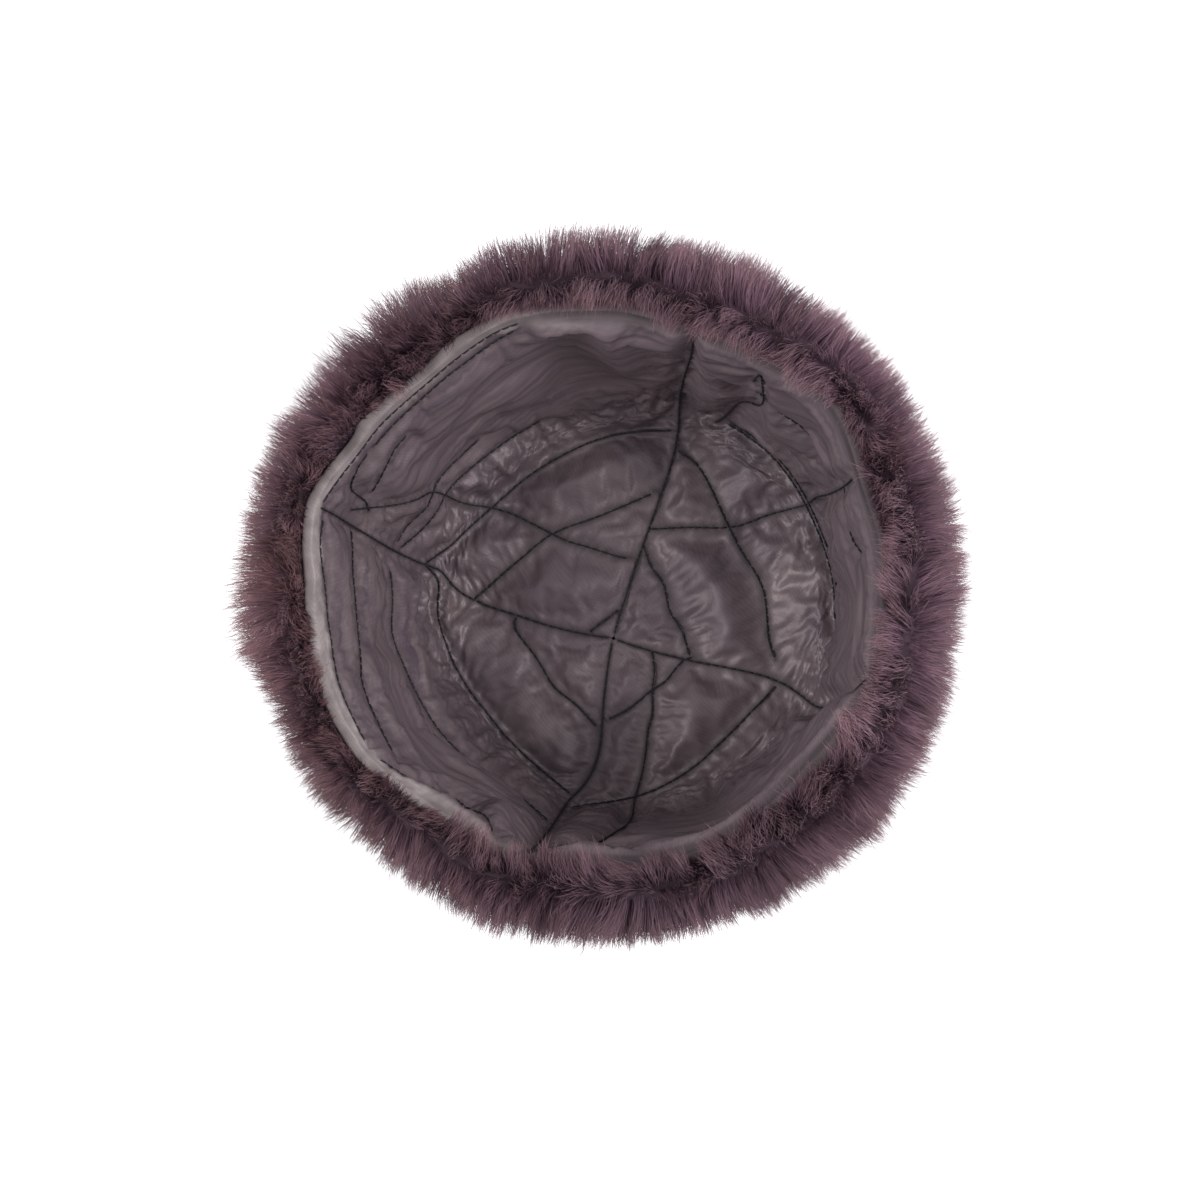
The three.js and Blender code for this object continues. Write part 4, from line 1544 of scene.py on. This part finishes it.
@dataclass
class Stitches:
    """The stitches of the quilting and the seams.

    Attributes:
        form: The form of the hat.
        quilting: Where they run.
        length: Length of a stitch.
        gap: Gap between two stitches.
        radius: Half the thickness of the thread.
        sides: Sides of the thread.
        first: Distance from the start of a line to its first stitch.
        uneven: How unevenly they are spaced.
        ring_spots: Where the rings of a stitch's thread are, as shares of its length.
        ring_heights: Heights of these rings over the satin.
        ring_sizes: Their sizes, as shares of the thread's.
    """

    form: HatForm
    quilting: Quilting
    length: float = 2.9
    gap: float = 0.14
    radius: float = 0.28
    sides: int = 5
    first: float = 0.3
    uneven: float = 0.25
    ring_spots: tuple[float, ...] = (0.0, 0.2, 0.8, 1.0)
    ring_heights: tuple[float, ...] = (-0.05, 0.28, 0.28, -0.05)
    ring_sizes: tuple[float, ...] = (0.6, 1.0, 1.0, 0.6)

    def line(self, path: Array, seed: int) -> tuple[Array, Array]:
        """The ends of the stitches on one line.

        Args:
            path: Points of the line on the flat lining.
            seed: Which wobble it gets.

        Returns:
            Points along each stitch, and the direction into the hollow there.
        """
        form = self.form
        fine = smooth_line(path, 4) if len(path) < 60 else path
        angle, place = form.unflat(fine)
        spots = form.lining(angle, place)
        along = np.concatenate([[0.0], np.cumsum(np.linalg.norm(np.diff(spots, axis=0), axis=1))])
        starts = np.arange(self.first, along[-1] - self.length, self.length + self.gap)
        chance = lattice(np.arange(len(starts)), 0 * starts, 0 * starts, seed)
        starts = starts + self.uneven * (chance - 0.5)
        where = (starts[:, None] + self.length * np.array(self.ring_spots)).ravel()
        flat = np.stack([np.interp(where, along, fine[:, i]) for i in (0, 1)], 1)
        angle, place = form.unflat(flat)
        to_seam, _ = self.quilting.nearest(flat, self.quilting.seams())
        rest = form.lining(angle, place)
        inward = unit(rest - form.lining(angle, place, 1.0))
        return rest + inward * form.relief(angle, place, to_seam)[:, None], inward

    def build(self, material: bpy.types.Material) -> bpy.types.Object:
        """Build and dress the stitches.

        Args:
            material: The thread.

        Returns:
            The object.
        """
        paths = [*self.quilting.paths(), *self.quilting.seams()]
        lines = [self.line(path, seed) for seed, path in enumerate(paths)]
        spots, normal = (np.vstack(part).reshape(-1, 4, 3) for part in zip(*lines))
        spots = spots + normal * np.array(self.ring_heights)[None, :, None]
        way = unit(spots[:, 3] - spots[:, 0])[:, None, :]
        side = unit(np.cross(way, normal))
        turn = (np.arange(self.sides) * 2 * np.pi / self.sides)[:, None]
        size = self.radius * np.array(self.ring_sizes)[None, :, None, None]
        ring = np.cos(turn) * side[:, :, None, :] + np.sin(turn) * normal[:, :, None, :]
        tube = spots[:, :, None, :] + size * ring
        k = np.arange(self.sides)
        after = (k + 1) % self.sides
        one = np.stack([k, after, after + self.sides, k + self.sides], -1)
        local = np.vstack([one + row * self.sides for row in range(3)])
        firsts = np.arange(len(spots))[:, None, None] * (4 * self.sides)
        index = (firsts + local[None]).reshape(-1, 4)
        piece = write_mesh("lining_stitches", tube.reshape(-1, 3), [index])
        dress(piece, Slot.SATIN, material)
        return piece


# --------------------------------------------------------------------------------------------
# The fur
# --------------------------------------------------------------------------------------------


@dataclass(frozen=True)
class Coat:
    """How the hair of one part of a pelt grows.

    Attributes:
        name: Name of the piece.
        outline: The skin that the roots are on.
        start: First angle, in degrees.
        turn: Angle that it covers.
        low: Share along the section where it starts.
        high: Share where it ends.
        count: Number of hairs.
        width: Width of a hair.
        combed: Lean along the section at shares along it: (share, lean).
        seed: Which random numbers it gets.
        over_rim: Whether it is the hair of the rim, which is longer towards the back.
        crowd: How much denser it is near its start; 1 is even.
        fringe: Share of its hairs that stand short along the lining's edge.
    """

    name: str
    outline: Outline
    start: float
    turn: float
    low: float
    high: float
    count: int
    width: float
    combed: tuple[tuple[float, float], ...]
    seed: int
    over_rim: bool = False
    crowd: float = 1.0
    fringe: float = 0.0


@dataclass
class Fur:
    """Hair, as tapered strips that gather in tufts.

    Attributes:
        form: The form of the hat.
        root_share: Share of the pile below the roots.
        tuft: Size of a small tuft.
        lock: Size of a large one.
        swirl: How far the hair leans round the hat, in large and in small swirls.
        uneven: How unevenly it leans along the section.
        scatter: How far single hairs stray, as a share of their length.
        bow: How far a hair bows outwards, as a share of its length.
        curl: How far it curls with its neighbours.
        sag: How far its tip hangs down.
        shortest: Length of the shortest hairs, as a share of the full length.
        spread: How much longer the longest are.
        clipped: How much shorter the hairs of the fringe are.
        shade: Lightness that the darkest hairs keep.
        vary: How much each tuft, lock and hair adds to it.
    """

    form: HatForm
    root_share: float = 0.25
    tuft: float = 3.8
    lock: float = 10.0
    swirl: float = 0.42
    uneven: float = 0.34
    scatter: float = 0.095
    bow: float = 0.16
    curl: float = 0.22
    sag: float = 0.05
    shortest: float = 0.91
    spread: float = 0.36
    clipped: float = 0.42
    shade: float = 0.62
    vary: float = 0.3

    def centres(self, x: Array, y: Array, size: float, seed: int) -> tuple[Array, Array, Array]:
        """The nearest centre of a tuft.

        Args:
            x: Way round the hat.
            y: Way along the section.
            size: Size of the tufts.
            seed: Which tufts.

        Returns:
            Both ways for the centre, and a random number for the tuft.
        """
        i, j = np.floor(x / size), np.floor(y / size)
        best = np.full(len(x), 1e9)
        cx, cy, key = np.zeros_like(x), np.zeros_like(y), np.zeros_like(x)
        for di in (-1, 0, 1):
            for dj in (-1, 0, 1):
                u, v = i + di, j + dj
                px = (u + 0.5 + 0.8 * (lattice(u, v, 0 * u, seed) - 0.5)) * size
                py = (v + 0.5 + 0.8 * (lattice(u, v, 0 * u + 1, seed) - 0.5)) * size
                gap = (px - x) ** 2 + (py - y) ** 2
                near = gap < best
                best = np.where(near, gap, best)
                cx, cy = np.where(near, px, cx), np.where(near, py, cy)
                key = np.where(near, lattice(u, v, 0 * u + 2, seed), key)
        return cx, cy, key

    def grown(self, coat: Coat, x: Array, y: Array, length: float) -> tuple[Array, Array, Array]:
        """Where a hair from a spot would reach without tufts.

        Args:
            coat: The coat.
            x: Way round the hat.
            y: Way along the section.
            length: Mean length of the section.

        Returns:
            Roots, tips, and outward directions.
        """
        angle, along = np.degrees(x / FUR_RADIUS), y / length
        root, outward, way, sideways = coat.outline.at(angle, along)
        wobble = 0.05 * flat_noise(x, 0.0, 26.0, coat.seed + 3)
        lean = np.interp(along + wobble, *np.array(coat.combed).T)
        swirl = self.swirl * noise(root, 30.0, 31) + self.swirl * noise(root, 11.0, 32)
        if coat.over_rim:
            over = np.clip((at_angle(FUR_REACH, 2, angle) - 90.0) / 12.0, 0.45, 1.1)
            lean = np.where(lean < 0.0, lean * over, lean)
        lean = lean + self.uneven * noise(root, 12.0, 33)
        heading = unit(outward + lean[:, None] * way + swirl[:, None] * sideways)
        reach = at_angle(FUR_REACH, 1, angle)
        left = (1.0 - self.root_share) * self.form.pile_length * reach
        stretch = np.minimum(1.0 / np.maximum(np.einsum("ij,ij->i", heading, outward), 0.5), 1.35)
        stretch = np.where(lean < 0.0, 1.0, stretch) if coat.over_rim else stretch
        return root, root + heading * (left * stretch)[:, None], outward

    def build(self, coat: Coat, slot: Slot, material: bpy.types.Material) -> bpy.types.Object:
        """Grow, build and dress a coat.

        Args:
            coat: The coat.
            slot: The material slot, passed on to dress.
            material: The hair.

        Returns:
            The object.
        """
        rng = np.random.default_rng(coat.seed)
        n = coat.count
        length = float(coat.outline.length.mean())
        x = np.radians(coat.start + coat.turn * rng.random(n)) * FUR_RADIUS
        y = (coat.low + (coat.high - coat.low) * rng.random(n) ** coat.crowd) * length
        fringe = rng.random(n) < coat.fringe
        y = np.where(fringe, 0.025 * length * rng.random(n), y)
        root, tip, outward = self.grown(coat, x, y, length)
        shades = []
        for size, strength, uneven, seed in (
            (self.lock, 0.42, 0.2, 51),
            (self.tuft, 0.5, 0.16, 61),
        ):
            cx, cy, key = self.centres(x, y, size, seed)
            shades.append(self.vary * key)
            mid_root, mid_tip, _ = self.grown(coat, cx, cy, length)
            scale = 1.0 + uneven * (2.0 * key - 1.0)
            goal = mid_root + (mid_tip - mid_root) * scale[:, None] + (root - mid_root) * 0.3
            tip = tip + (strength * np.where(fringe, 0.4, 1.0))[:, None] * (goal - tip)
        hair = tip - root
        hair *= (self.shortest + self.spread * rng.random(n) ** 0.6)[:, None]
        toward = np.cos(x / FUR_RADIUS - np.radians(160.0))
        longer = coat.over_rim * (0.06 + 0.26 * smooth(toward, -0.5, 0.9))
        longer = longer * smooth(y / length, 0.07, 0.14)
        hair *= (1.0 + longer - self.clipped * fringe)[:, None]
        stray = rng.normal(0.0, self.scatter, (n, 3))
        hair += stray * np.linalg.norm(hair, axis=1, keepdims=True)
        angle = np.degrees(x / FUR_RADIUS)
        if coat.over_rim:
            low = self.form.edge_of_fur(angle, 0.5)
            root = root + (low - root) * (fringe * rng.random(n) ** 0.8)[:, None]
        tip = root + hair
        reach = np.linalg.norm(hair, axis=1, keepdims=True)
        curl = np.stack([noise(root, 6.0, key) for key in (71, 72, 73)], 1)
        bend = root + 0.5 * hair + outward * self.bow * reach + self.curl * curl * reach
        bend = bend + rng.normal(0.0, 0.05, (n, 3)) * reach
        tip[:, 2] -= self.sag * reach[:, 0]
        strip = self.strips(coat.width, root, bend, tip, outward, rng)
        shade = self.shade + shades[0] + shades[1] + self.vary * rng.random(n)
        # Painted light and shade: the lightness of the fur's colour table round the hat, times the
        # random tone of locks, tufts and hairs.
        tone_and_light = at_angle(FUR_LIGHT_AND_TONE, 1, angle) * shade
        warm = np.clip(at_angle(FUR_LIGHT_AND_TONE, 2, angle) + 0.25 * (rng.random(n) - 0.5), 0.0, 1.0)
        values = {
            "along": np.tile([0.0, 0.0, 0.36, 0.36, 0.7, 0.7, 1.0], n),
            "tone_and_light": np.repeat(tone_and_light, 7),
            "warm": np.repeat(warm, 7),
        }
        first = np.arange(n)[:, None] * 7
        quads = np.vstack([first + [0, 1, 3, 2], first + [2, 3, 5, 4]])
        piece = write_mesh(coat.name, strip, [quads, first + [4, 5, 6]], values)
        dress(piece, slot, material)
        return piece

    @staticmethod
    def strips(
        width: float,
        root: Array,
        bend: Array,
        tip: Array,
        outward: Array,
        rng: np.random.Generator,
    ) -> Array:
        """The corners of the strips.

        Args:
            width: Width of a hair.
            root: Where each hair starts.
            bend: Where it bends to.
            tip: Where it ends.
            outward: Outward direction at its root.
            rng: The coat's random numbers.

        Returns:
            Seven points for each hair.
        """
        n = len(root)
        facing = unit(outward + np.array([0.0, 0.0, 0.5]) + rng.normal(0.0, 0.45, (n, 3)))
        widths = width * (0.75 + 0.5 * rng.random(n))
        rows = []
        for t, share in ((0.0, 1.0), (0.36, 0.9), (0.7, 0.6)):
            spot = (1 - t) ** 2 * root + 2 * t * (1 - t) * bend + t**2 * tip
            heading = unit(2 * (1 - t) * (bend - root) + 2 * t * (tip - bend))
            side = unit(np.cross(heading, facing)) * (widths * share / 2)[:, None]
            rows += [spot - side, spot + side]
        points = np.stack([*rows, tip], 1).reshape(-1, 3)
        points[:, 2] = np.maximum(points[:, 2], FLOOR_GAP)
        return points


@dataclass
class Undercoat:
    """The dense short fur under the hair, as a rough closed skin.

    Attributes:
        node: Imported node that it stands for.
        outline: Its surface.
        start: First angle, in degrees.
        turn: Angle that it covers.
        inner: Whether it goes on from the rim down to the rolled edge of the lining.
        form: The form of the hat.
        seed: Which lumps it gets.
        columns: Steps round the hat.
        rows: Steps along the section.
    """

    node: str
    outline: Outline
    start: float
    turn: float
    inner: bool
    form: HatForm
    seed: int
    columns: int = 130
    rows: int = 44

    def build(self, slot: Slot, material: bpy.types.Material) -> bpy.types.Object:
        """Build and dress it.

        Args:
            slot: The material slot, passed on to dress.
            material: The fur.

        Returns:
            The object.
        """
        form = self.form
        angles = self.start + self.turn * np.linspace(0, 1, self.columns + 1)
        shares = np.linspace(0.0, 1.0, self.rows)
        angle, share = (g.ravel() for g in np.meshgrid(angles, shares, indexing="ij"))
        point, outward, _, _ = self.outline.at(angle, share)
        lumps = 0.9 * noise(point, 6.0, self.seed + 1) + 0.5 * noise(point, 2.5, self.seed + 2)
        point = point + outward * lumps[:, None]
        point[:, 2] = np.maximum(point[:, 2], FLOOR_GAP)
        grid = point.reshape(len(angles), self.rows, 3)
        if self.inner:
            band = [form.edge_of_fur(angles, up) for up in (-6.0, 1.6)]
            grid = np.concatenate([np.stack(band, 1), grid], 1)
        rows = grid.shape[1]
        points = grid.reshape(-1, 3)
        faces = grid_faces(len(angles), rows)
        tone_and_light = 0.8 * at_angle(FUR_LIGHT_AND_TONE, 1, np.repeat(angles, rows))
        # Painted shade: the band down to the lining's edge is darkened as the shade under the hair.
        if self.inner:
            painted_edge_shade = np.interp(np.arange(rows), (0, 2, 5), (0.3, 0.35, 1.0))
            tone_and_light *= np.tile(painted_edge_shade, len(angles))
        values = {"along": np.full(len(points), 0.3), "tone_and_light": tone_and_light, "warm": 0 * tone_and_light}
        piece = write_mesh(f"{self.node}_undercoat", points, [faces], values)
        dress(piece, slot, material, self.node)
        return piece


@dataclass
class Coats:
    """All the fur of the hat.

    Attributes:
        form: The form of the hat.
        rim_hairs: Hairs near the rim on the larger side pelt.
        wall_hairs: Hairs on the rest of it.
        crown_hairs: Hairs on the crown.
        rim_end: Share of the side's section where the hairs of the rim end.
        full_turn: Degrees that the larger side pelt covers.
        fine: Width of a hair near the rim.
        coarse: Width of the other hairs.
        under_rise: How far the undercoat stands above the roots, as a share of the pile.
    """

    form: HatForm
    rim_hairs: int = 39800
    wall_hairs: int = 17000
    crown_hairs: int = 16000
    rim_end: float = 0.36
    full_turn: float = 190.0
    fine: float = 0.22
    coarse: float = 0.36
    under_rise: float = 0.07

    def build(self) -> list[bpy.types.Object]:
        """Build all the fur.

        Returns:
            The pieces.
        """
        pelts = PeltForm(self.form)
        fur = Fur(self.form)
        side, crown = pelts.side(fur.root_share), pelts.crown(fur.root_share)
        skin = pelts.side(fur.root_share + self.under_rise)
        material = FurFinish("fur_hair").material()
        under = FurFinish("fur_undercoat", gain=0.45).material()
        rim_comb = (
            (0.0, -0.2), (0.02, -0.4), (0.035, -0.9), (0.052, -1.5), (0.066, -0.9), (0.08, 0.0),
            (0.1, 0.3), (0.15, 0.2), (0.2, 0.0), (0.36, -0.2),
        )  # fmt: skip
        wall_comb = ((0.3, -0.1), (0.45, -0.35), (1.0, -0.45))
        crown_comb = ((0.0, -0.4), (0.45, -0.9), (1.0, -1.6))
        parts = (
            ("rim_hair", 0.0, self.rim_end, self.rim_hairs, self.fine, rim_comb, (True, 1.5, 0.2)),
            ("wall_hair", self.rim_end - 0.02, 0.99, self.wall_hairs, self.coarse, wall_comb, ()),
        )
        pieces = []
        for node, start, turn, seed in (
            ("pelt_side_left", 115.7, self.full_turn, 100),
            ("pelt_side_right", 306.0, 169.4, 200),
        ):
            wool = Undercoat(node, skin, start, turn, True, self.form, seed)
            pieces.append(wool.build(Slot.FUR_SIDE, under))
            for part, low, high, full, width, comb, rim in parts:
                seed += 7
                span = (start, turn, low, high, int(full * (turn / self.full_turn)))
                coat = Coat(f"{node}_{part}", side, *span, width, comb, seed, *rim)
                pieces.append(fur.build(coat, Slot.FUR_SIDE, material))
        node, span = "pelt_crown", (0.0, 360.0, 0.0, 0.62, self.crown_hairs)
        wool = Undercoat(node, crown, 0.0, 360.0, False, self.form, 300)
        pieces.append(wool.build(Slot.FUR_CROWN, under))
        coat = Coat(f"{node}_hair", crown, *span, self.coarse, crown_comb, 307)
        pieces.append(fur.build(coat, Slot.FUR_CROWN, material))
        for piece in pieces:
            log.info("built %s", piece.name)
        return pieces


# --------------------------------------------------------------------------------------------
# The studio
# --------------------------------------------------------------------------------------------


@dataclass(frozen=True)
class Studio:
    """Floor, light and camera.

    Attributes:
        form: The form of the hat.
        azimuth: Where the camera stands, in degrees from the front towards +X.
        elevation: Its angle above the floor.
        distance: From the middle of the rim.
        lens: Focal length.
        aim: How far right of and above the middle of the rim the camera aims.
    """

    form: HatForm
    azimuth: float = 57.0
    elevation: float = 80.3
    distance: float = 1100.0
    lens: float = 102.96
    aim: tuple[float, float] = (0.96, -5.45)

    def camera(self) -> None:
        """Add the camera, with the top of the picture towards +Y."""
        a, e = np.radians(self.azimuth), np.radians(self.elevation)
        back = Vector((np.sin(a) * np.cos(e), -np.cos(a) * np.cos(e), np.sin(e)))
        right = Vector((0.0, 1.0, 0.0)).cross(back).normalized()
        up = back.cross(right)
        data = bpy.data.cameras.new("camera")
        data.lens = self.lens
        data.sensor_width = 36.0
        data.clip_start = 0.05
        made = bpy.data.objects.new("camera", data)
        bpy.context.scene.collection.objects.link(made)
        middle = Vector((0.0, 0.0, self.form.rim_height)) + right * self.aim[0] + up * self.aim[1]
        place = (middle + back * self.distance) * MM
        turned = Matrix((right, up, back)).transposed().to_4x4()
        made.matrix_world = Matrix.Translation(place) @ turned
        bpy.context.scene.camera = made

    def light(self, name: str, place: Sequence[float], size: float, power: float) -> None:
        """Add a soft light that faces the hat.

        Args:
            name: Its name.
            place: Where it is, in metres.
            size: Side of its square.
            power: Its power in watts.
        """
        data = bpy.data.lights.new(name, "AREA")
        data.shape = "SQUARE"
        data.size = size
        data.energy = power
        made = bpy.data.objects.new(name, data)
        made.location = place
        towards = Vector((0.0, 0.0, 0.06)) - Vector(place)
        made.rotation_euler = towards.to_track_quat("-Z", "Y").to_euler()
        bpy.context.scene.collection.objects.link(made)

    def build(self) -> None:
        """Build the studio."""
        floor = write_mesh(
            "floor",
            np.array([(-4, -4, 0), (4, -4, 0), (4, 4, 0), (-4, 4, 0)]) / MM,
            [np.array([[0, 1, 2, 3]])],
        )
        floor.data.materials.append(FloorFinish("studio_paper").material())
        world = bpy.data.worlds.new("studio")
        world.use_nodes = True
        sky = world.node_tree.nodes["Background"]
        sky.inputs["Color"].default_value = (0.97, 0.98, 1.0, 1.0)
        sky.inputs["Strength"].default_value = 0.55
        bpy.context.scene.world = world
        self.light("soft_box_left", (-1.1, -0.1, 1.3), 0.7, 15.0)
        self.light("soft_box_right", (1.15, -0.15, 1.2), 0.7, 18.0)
        bpy.context.scene.view_settings.view_transform = "Standard"
        self.camera()


# --------------------------------------------------------------------------------------------
# The hat
# --------------------------------------------------------------------------------------------


@dataclass
class Lining:
    """The whole lining with its stitches.

    Attributes:
        form: The form of the hat.
    """

    form: HatForm

    def build(self) -> None:
        """Build the gores and the stitches."""
        quilting = Quilting(self.form)
        satin = SatinFinish("quilted_satin").material()
        for node, start, end in (
            ("lining_gore_back_left", Seam.BACK, Seam.LEFT),
            ("lining_gore_front_left", Seam.LEFT, Seam.FRONT),
            ("lining_gore_front_right", Seam.FRONT, Seam.RIGHT),
            ("lining_gore_back_right", Seam.RIGHT, Seam.BACK),
        ):
            LiningGore(node, start, end, self.form, quilting).build(satin)
            log.info("built %s", node)
        Stitches(self.form, quilting).build(ThreadFinish("sewing_thread").material())
        log.info("built the stitches")


def main() -> None:
    """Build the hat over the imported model."""
    logging.basicConfig(level=logging.INFO, format="%(message)s")
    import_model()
    form = HatForm()
    Studio(form).build()
    Lining(form).build()
    pieces = Coats(form).build()
    log.info("built %d pieces of fur", len(pieces))


if __name__ == "__main__":
    main()
